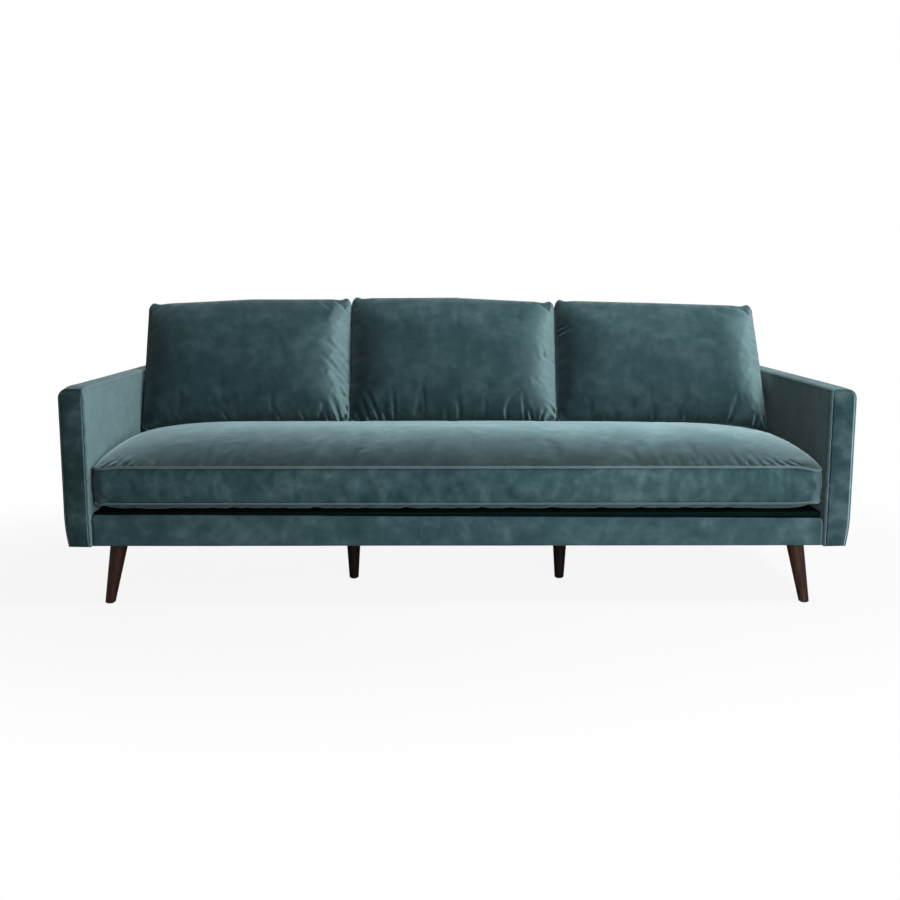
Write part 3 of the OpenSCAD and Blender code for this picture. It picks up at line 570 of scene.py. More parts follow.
def foamMaterial(name, low, high, cells):
    look = foamLook
    material, tree, shader = startMaterial(name)
    place = objectSpace(tree)
    cellNode = addNode(tree, "ShaderNodeTexVoronoi", inputs={"Vector": place, "Scale": cells})
    setInputs(tree, shader, {
        "Base Color": twoTones(tree, noiseNode(tree, place, *look["clouds"]), low, high),
        "Roughness": look["roughness"],
        "Normal": bumpNode(tree, cellNode.outputs["Distance"], *look["relief"])})
    return material


steelLook = {"stretch": (1, 0.1, 1), "marks": (240.0, 4), "uneven": 0.18, "relief": (0.0002, 0.4)}


def steelMaterial(name, low, high, roughness):
    look = steelLook
    material, tree, shader = startMaterial(name)
    marks = noiseNode(tree, objectSpace(tree, scale=look["stretch"]), *look["marks"])
    setInputs(tree, shader, {
        "Base Color": twoTones(tree, marks, low, high), "Metallic": 1.0,
        "Roughness": rangeNode(tree, marks, (0, 1), (roughness, roughness + look["uneven"])),
        "Normal": bumpNode(tree, marks, *look["relief"])})
    return material


# lift brightens each piece's copy of the same velvet: partly to make up for a lower sheen, partly painted
# light set piece by piece
seatVelvet = {"lift": 1.3, "crushed": 0.9, "relief": 0.5}
atEdges = {"lightFromRight": 0.35, "shadeOnLeft": 0.35, "shadeOnLeftAt": -0.9}
velvets = {
    "seat": {**seatVelvet, "slopeShading": seatSlopeShading, "shadeOnLeft": 0.8, "shadeOnLeftAt": -0.3, "sheen": 1.0},
    "boxing": {**seatVelvet, **atEdges, "slopeShading": seatSlopeShading, "sheen": 0.5},
    "under": {**seatVelvet, **atEdges, "sheen": 0.2},
    "back": {"lift": 1.25, "crushed": 0.65, "relief": 0.5, "slopeShading": backSlopeShading, "lightFromRight": 1.08, "shadeOnLeft": 0.6},
    "frame": {"lift": 1.25, "crushed": 1.15, "relief": 0.3, "slopeShading": frameSlopeShading, "lightFromRight": 1.3,
              "shadeOnLeft": 0.7, "sheen": 0.45},
    "rail": {"lift": 1.65, "crushed": 0.75, "relief": 0.4, "sheen": 0.5},
    # the seams get a share of the painted light colour on every face: a painted highlight on the welts
    "seam": {"lift": 1.3, "crushed": 0.5, "relief": 0.5, "lightFromRight": 0.4, "paintedLight": 0.36},
}
velvetSeat, velvetBoxing, velvetUnder, velvetBack, velvetFrame, velvetRail, velvetSeam = (
    velvetMaterial("velvet_" + part, **look) for part, look in velvets.items())
threadMaterial = wovenMaterial("sewing_thread", dark=(0.12, 0.17, 0.18), light=(0.26, 0.33, 0.34),
                               threads=900.0, roughness=0.6, sheen=0.4)
# real lining cloth, made a teal near black to match the shade in the gap under the seat; it is also used as
# painted shade on the rail's top strip and along the arms' top seam
liningAndPaintedShade = wovenMaterial("lining_and_painted_shade", dark=(0.0012, 0.0075, 0.0095), light=(0.004, 0.018, 0.021),
                           threads=320.0, roughness=0.95, specular=0.05)
walnutMaterial("walnut")
# a darker copy of the walnut for the centre legs: painted shade under the sofa
walnutMaterial("walnut_painted_shade", shade=0.30)
paleWoodMaterial("beech", low=(0.42, 0.27, 0.14), high=(0.62, 0.43, 0.25))
paleWoodMaterial("birch_ply", low=(0.50, 0.36, 0.20), high=(0.70, 0.54, 0.34))
paleWoodMaterial("hardboard", low=(0.16, 0.09, 0.05), high=(0.24, 0.15, 0.09), scale=(1, 1, 1))
wovenMaterial("webbing", dark=(0.012, 0.012, 0.013), light=(0.05, 0.05, 0.052), threads=260.0, roughness=0.75)
wovenMaterial("hessian", dark=(0.16, 0.11, 0.06), light=(0.42, 0.33, 0.21), threads=200.0, roughness=0.9)
foamMaterial("foam", low=(0.72, 0.62, 0.40), high=(0.84, 0.76, 0.55), cells=420.0)
foamMaterial("glide_felt", low=(0.010, 0.010, 0.010), high=(0.024, 0.024, 0.024), cells=900.0)
steelMaterial("spring_steel", low=(0.20, 0.19, 0.18), high=(0.38, 0.37, 0.36), roughness=0.32)
steelMaterial("zinc_steel", low=(0.45, 0.45, 0.46), high=(0.66, 0.66, 0.67), roughness=0.28)
print("materials made")


# camera, light and floor

photoCamera = {
    "place": (-0.0391, cadLow.y - 3.0, 0.9083), "pitchDown": 8.6385, "yawRight": 0.317,
    "lens": 43.851, "sensor": 36.0,
}
studio = {
    "world": 0.08,
    "lamps": {
        "near_high": {"place": (2.0, -1.0, 3.0), "aim": (0.0, 0.0, 0.45), "size": (1.2, 1.2), "power": 88.0},
        "front": {"place": (1.9, -3.0, 1.6), "aim": (0.0, 0.0, 0.45), "size": (1.5, 1.5), "power": 26.0},
        "low_front": {"place": (0.9, -2.4, 0.7), "aim": (0.5, 0.0, 0.35), "size": (1.0, 0.6), "power": 26.0},
        "behind": {"place": (-0.8, 4.2, 1.7), "aim": (0.0, 0.4, 0.45), "size": (2.2, 1.4), "power": 70.0},
    },
    "floorColour": (0.55, 0.55, 0.55), "floorRoughness": 0.9, "floorSize": 30.0, "floorShadowShare": 0.10,
    "floorNarrow": (0.62, 1, 1), "floorWhite": (0.75, 1.7),
}


def addLamp(name, lamp):
    data = bpy.data.lights.new(name, "AREA")
    data.shape = "RECTANGLE"
    data.size, data.size_y = lamp["size"]
    data.energy = lamp["power"]
    body = linkedObject(name, data)
    body.visible_camera = False
    body.location = lamp["place"]
    aim = Vector(lamp["aim"]) - Vector(lamp["place"])
    body.rotation_euler = aim.to_track_quat("-Z", "Y").to_euler()


def seenDirectly(tree):
    # 1 for what the lens, a gloss or a clear material sees
    path = addNode(tree, "ShaderNodeLightPath")
    seen = mathNode(tree, "MAXIMUM", path.outputs["Is Camera Ray"], path.outputs["Is Glossy Ray"])
    return mathNode(tree, "MAXIMUM", seen, path.outputs["Is Transmission Ray"])


def makeCamera():
    data = bpy.data.cameras.new("camera")
    data.lens, data.sensor_width = photoCamera["lens"], photoCamera["sensor"]
    camera = linkedObject("camera", data)
    camera.location = photoCamera["place"]
    pitch, yaw = math.radians(90 - photoCamera["pitchDown"]), -math.radians(photoCamera["yawRight"])
    camera.rotation_euler = (pitch, 0, yaw)
    bpy.context.scene.camera = camera


def makeWorld():
    world = bpy.data.worlds.new("studio")
    bpy.context.scene.world = world
    world.use_nodes = True
    tree = world.node_tree
    tree.nodes.clear()
    light, white = (addNode(tree, "ShaderNodeBackground", inputs={"Color": (1, 1, 1, 1), "Strength": level})
                    for level in (studio["world"], 1.0))
    mix = addNode(tree, "ShaderNodeMixShader", inputs={
        0: seenDirectly(tree), 1: light.outputs[0], 2: white.outputs[0]})
    addNode(tree, "ShaderNodeOutputWorld", inputs={"Surface": mix.outputs[0]})


def makeFloor():
    # white where it is seen, with the sofa's soft shadow close to it
    half = studio["floorSize"] / 2
    corners = [(-half, -half, 0), (half, -half, 0), (half, half, 0), (-half, half, 0)]
    mesh = newMesh("floor", corners, [(0, 1, 2, 3)])
    floor = linkedObject("floor", mesh)
    material, tree, shader = startMaterial("floor_paint")
    setInputs(tree, shader, {"Base Color": (*studio["floorColour"], 1), "Roughness": studio["floorRoughness"],
                             "Specular IOR Level": 0.0})
    away = addNode(tree, "ShaderNodeVectorMath", {"operation": "LENGTH"}, {
        0: objectSpace(tree, studio["floorNarrow"])})
    shares = (1 - studio["floorShadowShare"], 1.0)
    white = rangeNode(tree, away.outputs["Value"], studio["floorWhite"], shares, "SMOOTHSTEP")
    path = addNode(tree, "ShaderNodeLightPath")
    share = mathNode(tree, "MULTIPLY", path.outputs["Is Camera Ray"], white)
    glow = addNode(tree, "ShaderNodeEmission", inputs={"Color": (1, 1, 1, 1), "Strength": 1.0})
    mix = addNode(tree, "ShaderNodeMixShader", inputs={0: share, 1: shader.outputs[0], 2: glow.outputs[0]})
    tree.links.new(mix.outputs[0], tree.nodes["Material Output"].inputs["Surface"])
    mesh.materials.append(material)


bpy.context.scene.view_settings.view_transform = "Standard"
makeCamera()
for lampName, lamp in studio["lamps"].items():
    addLamp(lampName + "_light", lamp)
makeWorld()
makeFloor()
print("stage set")


# sizes that the frame gives

seatLow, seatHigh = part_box("seat_cushion")
armLow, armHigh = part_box("right_arm_cover")
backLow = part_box("back_cover")[0]
railLow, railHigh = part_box("rail_cover")
deckLow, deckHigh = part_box("deck_lining")
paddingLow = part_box("back_padding")[0]
frontY, rearY = armLow.y, armHigh.y
armIn, armOut = armLow.x, armHigh.x
armTop, hem = armHigh.z, armLow.z
insideBack = {"topThickness": 0.165, "footY": backLow.y, "footZ": paddingLow.z}
insideBack["topY"] = rearY - insideBack["topThickness"]
insideBack["rake"] = (insideBack["topY"] - insideBack["footY"]) / (armTop - insideBack["footZ"])


def rakedY(z):
    # how far back the inside back lies at a height
    return insideBack["footY"] + (np.minimum(z, armTop) - insideBack["footZ"]) * insideBack["rake"]


# loose seat cushion

seatPlan = {
    "cells": (150, 50), "corner": 0.040, "boxing": 0.102, "belly": 0.030, "swell": 0.003, "fill": 0.85,
    "slide": 0.0003, "wider": 0.0038, "pinchReach": 0.045, "topPinch": (0.009, 0.016),
    "underPinch": (0.001, 0.006), "sideReach": 0.350, "sideFull": (2.0, 0.36), "depthFull": (2.3, 1.0),
    "sag": (0.04, 0.14), "bellyReach": 0.110, "bellyFull": (2.0, 0.6), "bandRows": 8,
    "cloth": {"quality": 6, "mass": 0.3, "stiffness": 20.0, "shear": 4.0, "bending": 0.15, "pressure": 3.0,
              "spareCloth": 0.028, "frames": 20, "cap": 0.028},
    "wrinkleLow": 0.10, "wrinkleFront": 0.50, "wrinkleReach": 0.10, "growth": 0.08, "bandWrinkles": 0.40,
    "underWrinkles": 0.4, "leftWrinkles": 0.6, "endWrinkles": 0.2, "endReach": 0.16, "broadPasses": 60,
    "foldEdge": 0.008, "deckGap": 0.0004, "armGap": 0.0015,
    "seamWidth": 0.0075, "seamHeight": 0.0034, "seamSlope": 0.7, "seamLift": 0.0004,
    "stitch": 0.0042, "stitchGap": 0.0010, "thread": 0.0011, "rowAcross": 0.40, "rowUp": 0.42,
    "bandFold": {"lean": 12, "narrow": 0.8, "widens": 0.5, "ridgeAt": 1.7, "hold": 4,
                 "reach": (0.75, 0.45, 1.7), "strength": (0.65, 0.35, 2.3)},
    # start across from the left seam and back from the front seam, direction, length, width and depth, in mm
    "topFolds": [(190, 0, 88, 60, 7, 1.8), (300, 0, 84, 50, 6, 1.6), (430, 0, 92, 70, 8, 2.0),
                 (700, 0, 90, 60, 7, 1.6), (1040, 0, 92, 70, 7, 2.0), (1180, 0, 88, 60, 7, 1.8),
                 (1330, 0, 94, 60, 6, 2.0), (1440, 0, 88, 50, 6, 2.0), (1500, 0, 92, 70, 7, 2.4),
                 (1535, 0, 92, 60, 6, 2.8), (1572, 0, 90, 85, 6, 2.8), (1606, 0, 96, 65, 6, 3.2),
                 (1650, 0, 92, 90, 7, 3.0), (1688, 0, 98, 75, 6, 3.4), (1722, 0, 95, 60, 5, 3.0),
                 (1752, 0, 100, 95, 6, 3.6), (1782, 0, 102, 70, 6, 3.6), (1812, 0, 98, 90, 6, 3.6),
                 (1846, 0, 106, 70, 6, 3.8), (1878, 0, 110, 85, 6, 4.0), (1906, 2, 116, 60, 5, 3.8),
                 (1932, 4, 122, 75, 6, 4.0), (1960, 6, 130, 55, 5, 3.6), (1988, 10, 138, 55, 5, 3.2),
                 (96, 2, 70, 70, 6, 2.6), (66, 6, 62, 75, 6, 2.8), (36, 10, 50, 65, 6, 2.6)],
    # place across from the left seam, width and depth of a pucker that runs down the boxing, in mm
    "bandFolds": [(95, 9, 1.3), (172, 8, 1.6), (330, 10, 1.2), (480, 8, 1.8), (506, 6, 1.8), (540, 9, 2.0),
                  (566, 7, 1.8), (602, 8, 1.8), (640, 6, 1.5), (668, 9, 1.8), (730, 8, 1.5), (905, 7, 2.2),
                  (936, 6, 2.0), (985, 8, 2.2), (1020, 6, 1.8), (1052, 8, 2.0), (1105, 8, 1.8),
                  (1146, 7, 2.2), (1290, 8, 2.2), (1322, 6, 2.0), (1352, 7, 2.2), (1388, 9, 2.4),
                  (1424, 6, 2.0), (1462, 8, 2.2), (1545, 8, 2.2), (1580, 6, 2.0), (1612, 7, 2.2),
                  (1660, 8, 2.6), (1690, 6, 2.4), (1722, 8, 2.6), (1758, 7, 2.8), (1788, 6, 2.4),
                  (1820, 8, 2.8), (1852, 6, 2.8), (1880, 7, 3.2), (1904, 5, 2.8), (1930, 7, 3.2),
                  (1956, 6, 3.0), (1984, 6, 2.8)],
}


def seatTables():
    # the top, the underside and the rows of the boxing between them, and the way out all round
    plan = seatPlan
    a = (seatHigh.x - seatLow.x) / 2 + plan["wider"]
    b = (seatHigh.y - seatLow.y) / 2
    midY = (seatHigh.y + seatLow.y) / 2
    lowSeam = seatLow.z + plan["belly"]
    highSeam = lowSeam + plan["boxing"]
    x, y = roundedGrid(a - plan["swell"], b - plan["swell"], plan["corner"], *plan["cells"])
    edgeX, edgeY = a - np.abs(x) - plan["swell"], b - np.abs(y) - plan["swell"]
    atCorner = np.exp(-((edgeX + edgeY) / plan["pinchReach"]) ** 2)
    topPinch, underPinch = (np.where(x < 0, *plan[k]) * atCorner for k in ("topPinch", "underPinch"))
    crown = fullness(edgeX, plan["sideReach"], plan["sideFull"]) * fullness(edgeY, b, plan["depthFull"])
    crown = crown * (1 - np.where(x < 0, *plan["sag"]) * (x / a) ** 2)
    belly = (fullness(edgeX, plan["bellyReach"], plan["bellyFull"])
             * fullness(edgeY, plan["bellyReach"], plan["bellyFull"]))
    top = np.stack([x + plan["slide"], y + midY, highSeam - topPinch + (seatHigh.z - highSeam) * crown], 2)
    under = np.stack([x + plan["slide"], y + midY, lowSeam + underPinch - plan["belly"] * belly], 2)
    rim, base = borderOf(top), borderOf(under)
    reach = np.stack([a - plan["corner"], b - plan["corner"]])
    flat = rim[:, :2] - [plan["slide"], midY]
    away = np.zeros_like(rim)
    away[:, :2] = np.maximum(np.abs(flat) - reach, 0) * np.sign(flat)
    away = unit(away)
    band = []
    for k in range(plan["bandRows"] + 1):
        t = k / plan["bandRows"]
        band.append(rim * (1 - t) + base * t + away * plan["swell"] * math.sin(math.pi * t))
    return top, under, np.array(band), away, (a, b, midY)


def seatWrinkleShare(table, frontEdge, halfWidth):
    # folds show most along the front seam and towards the right corner, and least at the ends
    plan = seatPlan
    near = np.exp(-((table[..., 1] - frontEdge) / plan["wrinkleReach"]) ** 2)
    right = plan["leftWrinkles"] + (1 - plan["leftWrinkles"]) * smoothStep(table[..., 0] / halfWidth)
    inside = smoothStep((halfWidth - np.abs(table[..., 0])) / plan["endReach"])
    share = plan["wrinkleLow"] + (plan["wrinkleFront"] - plan["wrinkleLow"]) * near * right
    return share * (plan["endWrinkles"] + (1 - plan["endWrinkles"]) * inside)


def pressBand(band, away, left):
    # vertical puckers in the front of the boxing, strongest at its seams
    look = seatPlan["bandFold"]
    across = (band[..., 0] - left) / mm
    down = np.linspace(0, 1, len(band))[:, None]
    onFront = np.clip(-away[:, 1], 0, 1)[None, :]
    lift = np.zeros(band.shape[:2])
    for place, width, depth in seatPlan["bandFolds"]:
        reach, strength = (base + swing * math.sin(place * turn) for base, swing, turn in
                           (look["reach"], look["strength"]))
        lean = look["lean"] * math.sin(place) * (down - 0.5)
        s = (across - place - lean) / (width * (look["narrow"] + look["widens"] * down))
        lift += depth * mm * smoothStep(1 - down / reach) * strength * groove(s, look["ridgeAt"])
    hold = np.clip(np.sin(math.pi * down) * look["hold"], 0, 1)
    return band + away[None] * (lift * hold * onFront)[..., None]


def makeSeat():
    plan = seatPlan
    top, under, band, away, (a, b, midY) = seatTables()
    verts, faces, tables = cushionMesh(top, under, band)
    pins = list(borderOf(tables["front"])) + list(tables["band"][-1])
    puffed = clothPuff("seat_cloth", verts, faces, pins, plan["cloth"])
    newTop, newUnder, newBand = splitTables(puffed, tables)
    passes = plan["broadPasses"]
    top = keepWrinkles(top, newTop, passes, seatWrinkleShare(top, seatLow.y, a), plan["growth"])
    under = keepWrinkles(under, newUnder, passes, np.full(under.shape[:2], plan["underWrinkles"]), 0.0)
    band = band + (newBand - band) * plan["bandWrinkles"]
    top, under = refineGrid(top), refineGrid(under)
    band = refineLine(refineLine(band, 0), 1, closed=True)
    away = unit(refineLine(away, 0, closed=True))
    left = plan["slide"] - a
    edge = np.minimum(a - np.abs(top[..., 0] - plan["slide"]), b - np.abs(top[..., 1] - midY))
    pressed = pressFolds(top, (top[..., 0] - left) / mm, (top[..., 1] - seatLow.y) / mm, plan["topFolds"])
    top = top + (pressed - top) * smoothStep(edge / plan["foldEdge"])[..., None]
    band = pressBand(band, away, left)
    verts, faces, tables = cushionMesh(top, under, band)
    verts[:, 2] = np.clip(verts[:, 2], deckHigh.z + plan["deckGap"], seatHigh.z)
    verts[:, 0] = np.clip(verts[:, 0], plan["armGap"] - armIn, armIn - plan["armGap"])
    verts[:, 1] = np.clip(verts[:, 1], frontY, seatHigh.y)
    piece = newPiece("bench_seat_cushion", verts, faces, "seat", [velvetSeat, velvetBoxing, velvetUnder],
                     ["seat_cushion", "seat_foam_core"])
    boxingFaces = (len(band) - 1) * band.shape[1]
    panelFaces = (len(faces) - boxingFaces) // 2
    shareOut(piece, (0, panelFaces), (2, panelFaces), (1, boxingFaces))
    print("seat cushion made,", len(verts), "points")
    return band, away


def makeSeatSeams(band, away):
    # a flat seam along the top and the foot of the boxing, with a row of stitches on each side
    plan = seatPlan
    seams, rows = [], []
    for row, slope in ((0, plan["seamSlope"]), (-1, -plan["seamSlope"])):
        lean = unit(away + np.array([0, 0, slope]))
        tilt = unit(np.cross(np.roll(band[row], -1, 0) - np.roll(band[row], 1, 0), lean))
        line = band[row] + lean * plan["seamLift"]
        seams.append(sweepTube(line, lean, plan["seamWidth"], plan["seamHeight"]))
        for side in (-1, 1):
            path = (band[row] + tilt * side * plan["seamWidth"] * plan["rowAcross"]
                    + lean * plan["seamHeight"] * plan["rowUp"])
            rows.append(stitchRow(path, lean, plan["stitch"], plan["stitchGap"], plan["thread"]))
    newPiece("bench_seat_seams", *joinParts(seams), "seat", [velvetSeam])
    newPiece("bench_seat_stitching", *joinParts(rows), "seat", [threadMaterial])
    print("seat seams made")


makeSeatSeams(*makeSeat())


# loose back cushions

backPlan = {
    "cells": (72, 46), "corner": 0.026, "lean": 21.0, "height": 0.430, "front": 0.090, "rear": 0.128,
    "reach": 0.270, "full": (2.3, 0.5), "footY": 0.550, "footZ": 0.4565, "backFit": 0.0006, "fill": 0.7,
    "droopReach": 0.075, "ear": (0.0035, 0.013, 0.011), "dip": (0.0022, 0.040, 0.016), "earReach": 0.05,
    "topFrom": 0.3, "broadPasses": 40, "rearWrinkles": 0.5, "foldEdge": 0.006, "armGap": 0.0012,
    "cloth": {"quality": 6, "mass": 0.3, "stiffness": 18.0, "shear": 4.0, "bending": 0.12, "pressure": 3.0,
              "spareCloth": 0.04, "frames": 20, "cap": 0.028},
    "growth": 0.15, "seamWidth": 0.0042, "seamHeight": 0.0030, "seamLift": 0.0002, "seamIn": 0.001,
    "seamReach": {"foot": 0.9, "top": 0.5, "side": 0.4, "elsewhere": 0.15},
}
# foot and head: shifts of the left and the right seam at the foot and at the top; top: rises of the top seam
# at its left, middle and right; droop: how far it falls at its left and right corner; wrinkles: shares of the
# cloth's own folds at the foot, top, left and right seam; limits: how far the cushion may reach to the left
# and right; folds: start from the left foot corner, direction, length, width and depth, in mm
backCushions = {
    "left": {
        "side": -1, "droop": (0.028, 0.0), "foot": (0.004, -0.0045), "head": (0.004, -0.0048),
        "top": (-0.022, -0.004, -0.004), "wrinkles": (0.40, 0.2, 0.15, 0.85), "limits": (None, -0.3468),
        "folds": [(683, 26, 116, 110, 8, 4.2), (683, 58, 124, 150, 8, 4.8), (683, 92, 130, 130, 8, 4.6),
                  (683, 126, 134, 150, 7, 4.4), (683, 160, 138, 110, 7, 4.0), (683, 196, 142, 120, 7, 3.6),
                  (683, 232, 148, 80, 7, 3.2), (683, 266, 152, 70, 6, 2.6), (655, 0, 108, 110, 8, 3.6),
                  (618, 0, 112, 70, 7, 3.0), (540, 0, 118, 60, 8, 3.4), (462, 0, 124, 70, 8, 3.6),
                  (392, 0, 116, 50, 7, 2.4), (290, 0, 124, 60, 8, 3.4), (205, 0, 82, 40, 7, 1.8),
                  (110, 0, 70, 40, 7, 1.8)]},
    "centre": {
        "side": 0, "droop": (0.0, 0.0), "foot": (-0.0045, -0.013), "head": (-0.0045, -0.0122),
        "top": (0.000, 0.002, -0.016), "wrinkles": (0.50, 0.15, 0.2, 0.5), "limits": (-0.3462, 0.3292),
        "folds": [(40, 0, 122, 60, 7, 4.0), (68, 0, 114, 90, 7, 4.6), (96, 10, 110, 130, 8, 4.8),
                  (146, 6, 88, 125, 8, 4.6), (120, 0, 98, 60, 7, 3.4), (248, 30, 93, 100, 8, 2.6),
                  (320, 0, 90, 60, 7, 2.0), (360, 4, 92, 110, 8, 2.6), (398, 10, 90, 60, 7, 2.0),
                  (517, 4, 102, 52, 7, 3.0), (578, 0, 98, 110, 8, 4.4), (600, 6, 118, 70, 7, 3.4),
                  (628, 0, 80, 60, 7, 3.2), (683, 20, 128, 75, 7, 3.8), (683, 52, 140, 70, 7, 3.4),
                  (683, 195, 152, 85, 9, 3.4), (683, 150, 160, 65, 8, 3.0), (640, 210, 100, 60, 8, 2.6)]},
    "right": {
        "side": 1, "droop": (0.0, 0.030), "foot": (-0.0125, -0.008), "head": (-0.0122, -0.037),
        "top": (-0.008, -0.017, -0.028), "wrinkles": (0.40, 0.25, 0.25, 0.45), "limits": (0.3298, None),
        "folds": [(0, 300, 14, 70, 7, 5.5), (0, 322, 2, 55, 6, 4.5), (155, 0, 95, 35, 8, 3.0),
                  (220, 0, 100, 30, 7, 2.4), (310, 0, 86, 40, 8, 3.2), (414, 0, 104, 45, 8, 3.4),
                  (448, 0, 84, 40, 7, 2.8), (552, 0, 76, 60, 8, 3.2), (635, 4, 72, 55, 8, 3.2),
                  (676, 12, 108, 60, 7, 3.0), (683, 330, 186, 45, 8, 2.8), (683, 272, 172, 60, 8, 3.6),
                  (683, 216, 166, 50, 8, 3.0), (683, 160, 160, 50, 8, 2.6), (250, 428, 282, 42, 8, 2.0),
                  (120, 428, 292, 40, 8, 1.6)]},
}


def cushionWrinkleShare(u, v, wrinkles):
    # u and v run from -1 to 1 across and up the cushion
    reach = backPlan["seamReach"]
    weights = [smoothStep(1 - away / far) for away, far in (
        (v + 1, reach["foot"]), (1 - v, reach["top"]), (u + 1, reach["side"]), (1 - u, reach["side"]))]
    own = reach["elsewhere"] * 0.5 + sum(w * share for w, share in zip(weights, wrinkles))
    return own / (reach["elsewhere"] + sum(weights))


def heldBack(points):
    # keeps the rear of a cushion in front of the inside back
    points[..., 1] = np.minimum(points[..., 1], rakedY(points[..., 2]) - backPlan["backFit"])
    return points


def backTables(own, x, y, a, b, middle):
    # front and rear of a cushion before its cloth is swelled; a and b are half its width and height
    plan = backPlan
    edgeX, edgeY = a - np.abs(x), b - np.abs(y)
    puff = fullness(edgeX, plan["reach"], plan["full"]) * fullness(edgeY, b, plan["full"])
    up, out = math.cos(math.radians(plan["lean"])), math.sin(math.radians(plan["lean"]))
    rise = (y + b) / (2 * b)
    foot, head = (np.interp(x, (-a, a), own[key]) for key in ("foot", "head"))
    slidX = x + foot * (1 - rise) + head * rise + middle
    ear, dip = (size * np.exp(-((edgeX - place) / wide) ** 2)
                for size, place, wide in (plan["ear"], plan["dip"]))
    droop = np.where(x < 0, *own["droop"]) * np.exp(-edgeX / plan["droopReach"]) * smoothStep(1 - (y + b) / b)
    topShare = smoothStep((y + b * plan["topFrom"]) / ((1 + plan["topFrom"]) * b))
    slidY = (y + np.interp(x, (-a, 0, a), own["top"]) * topShare
             + (ear - dip) * smoothStep(1 - (b - y) / plan["earReach"]) - droop)
    front, rear = (np.stack([slidX, frontY + plan["footY"] + (slidY + b) * out - depth * up,
                             plan["footZ"] + (slidY + b) * up + depth * out], 2)
                   for depth in (plan["front"] * puff, -plan["rear"] * puff))
    return front, heldBack(rear)


def makeBackCushion(name, own):
    plan = backPlan
    low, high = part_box(name + "_back_cushion")
    wide = high.x - low.x
    pitch = (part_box("right_back_cushion")[1].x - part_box("left_back_cushion")[0].x - wide) / 2
    a, b = wide / 2, plan["height"] / 2
    x, y = roundedGrid(a, b, plan["corner"], *plan["cells"])
    front, rear = backTables(own, x, y, a, b, own["side"] * pitch)
    verts, faces, tables = cushionMesh(front, rear)
    puffed = clothPuff(name + "_cloth", verts, faces, borderOf(tables["front"]), plan["cloth"])
    newFront, newRear, _ = splitTables(puffed, tables)
    share = cushionWrinkleShare(x / a, y / b, own["wrinkles"])
    passes, rearShare = plan["broadPasses"], np.full(share.shape, plan["rearWrinkles"])
    front = refineGrid(keepWrinkles(front, newFront, passes, share, plan["growth"]))
    rear = refineGrid(keepWrinkles(rear, newRear, passes, rearShare, 0.0))
    flatX, flatY = refineGrid(x), refineGrid(y)
    edge = np.minimum(a - np.abs(flatX), b - np.abs(flatY))
    pressed = pressFolds(front, (flatX + a) / mm, (flatY + b) / mm, own["folds"])
    front = front + (pressed - front) * smoothStep(edge / plan["foldEdge"])[..., None]
    verts, faces, tables = cushionMesh(front, heldBack(rear))
    inner = armIn - plan["armGap"]
    leftLimit, rightLimit = (end if limit is None else limit
                             for limit, end in zip(own["limits"], (-inner, inner)))
    verts[:, 0] = np.clip(verts[:, 0], leftLimit, rightLimit)
    piece = newPiece(name + "_loose_cushion", verts, faces, name + "_back", [velvetBack],
                     [name + "_back_cushion", name + "_cushion_insert"])
    rim = verts[borderOf(tables["front"])]
    lean = unit(rim - rim.mean(0))
    seam = rim + lean * plan["seamLift"]
    seam[:, 0] = np.clip(seam[:, 0], leftLimit + plan["seamIn"], rightLimit - plan["seamIn"])
    tube = sweepTube(seam, lean, plan["seamWidth"], plan["seamHeight"])
    newPiece(name + "_cushion_seam", *tube, name + "_back", [velvetSeam])
    print(name, "back cushion made,", len(verts), "points")


for cushionName, own in backCushions.items():
    makeBackCushion(cushionName, own)


# upholstery of the arms

# a wave is its length and its height
clothPlan = {"thickness": 0.0018, "waves": ((0.30, 0.0010), (0.07, 0.0004))}
armPlan = {
    "outerCorner": 0.026, "innerCorner": 0.008, "tuck": 0.009, "tuckHeight": 0.092,
    "step": 0.011, "columns": 12, "innerRound": 0.005, "outerRound": 0.0052, "edgeSteps": 5, "roundTurns": 4,
    "panelPuff": 0.0024, "puffReach": 0.02, "puffHem": 0.004, "puffTop": 0.002, "puffRise": 0.03,
    "capWaves": 0.35, "bandSeam": 0.009, "bandGroove": 0.0030, "bandHalf": 0.0016,
    # size of the dark tube along the top seam, which paints the seam's shade
    "seamShadeLine": (0.0022, 0.0012),
    "openingFront": 0.026, "openingMargin": 0.012, "openingTop": 0.238, "openingIn": 0.030,
    "innerSeam": (0.0088, 0.0030), "seamStep": 0.006, "seamWander": 0.0020, "wanderSize": 0.014,
    "heights": (10, 32, 12),
    "leastWave": -0.0001, "crownReach": 0.055, "crownDepth": 0.060,
}


def armOutline():
    # heights from the hem to the top, and where the inner and the outer face lie at each
    plan = armPlan
    r, e = plan["outerCorner"], plan["innerCorner"]
    tuckTop = hem + plan["tuckHeight"]
    tuckR = (plan["tuckHeight"] ** 2 + plan["tuck"] ** 2) / (2 * plan["tuck"])
    seamZ = armTop - plan["bandSeam"]
    lowRows, middleRows, topRows = plan["heights"]
    z = np.concatenate([np.linspace(hem, tuckTop, lowRows)[:-1],
                        np.linspace(tuckTop, armTop - r, middleRows)[:-1],
                        armTop - r + r * np.sin(np.linspace(0, math.pi / 2, topRows)),
                        [seamZ - plan["bandHalf"], seamZ, seamZ + plan["bandHalf"]]])
    z = np.sort(z)
    low, high = np.maximum(tuckTop - z, 0), np.clip(z - (armTop - r), 0, r)
    outer = armOut - tuckR + np.sqrt(tuckR ** 2 - low ** 2) - r + np.sqrt(np.maximum(r * r - high * high, 0))
    lift = np.clip(z - (armTop - e), 0, e)
    inner = armIn + e - np.sqrt(np.maximum(e * e - lift * lift, 0))
    return z, inner, outer


def leftOf(line):
    # the way to the left at each point of a flat line
    along = unit(np.gradient(line, axis=0))
    return np.stack([-along[:, 1], along[:, 0]], 1)


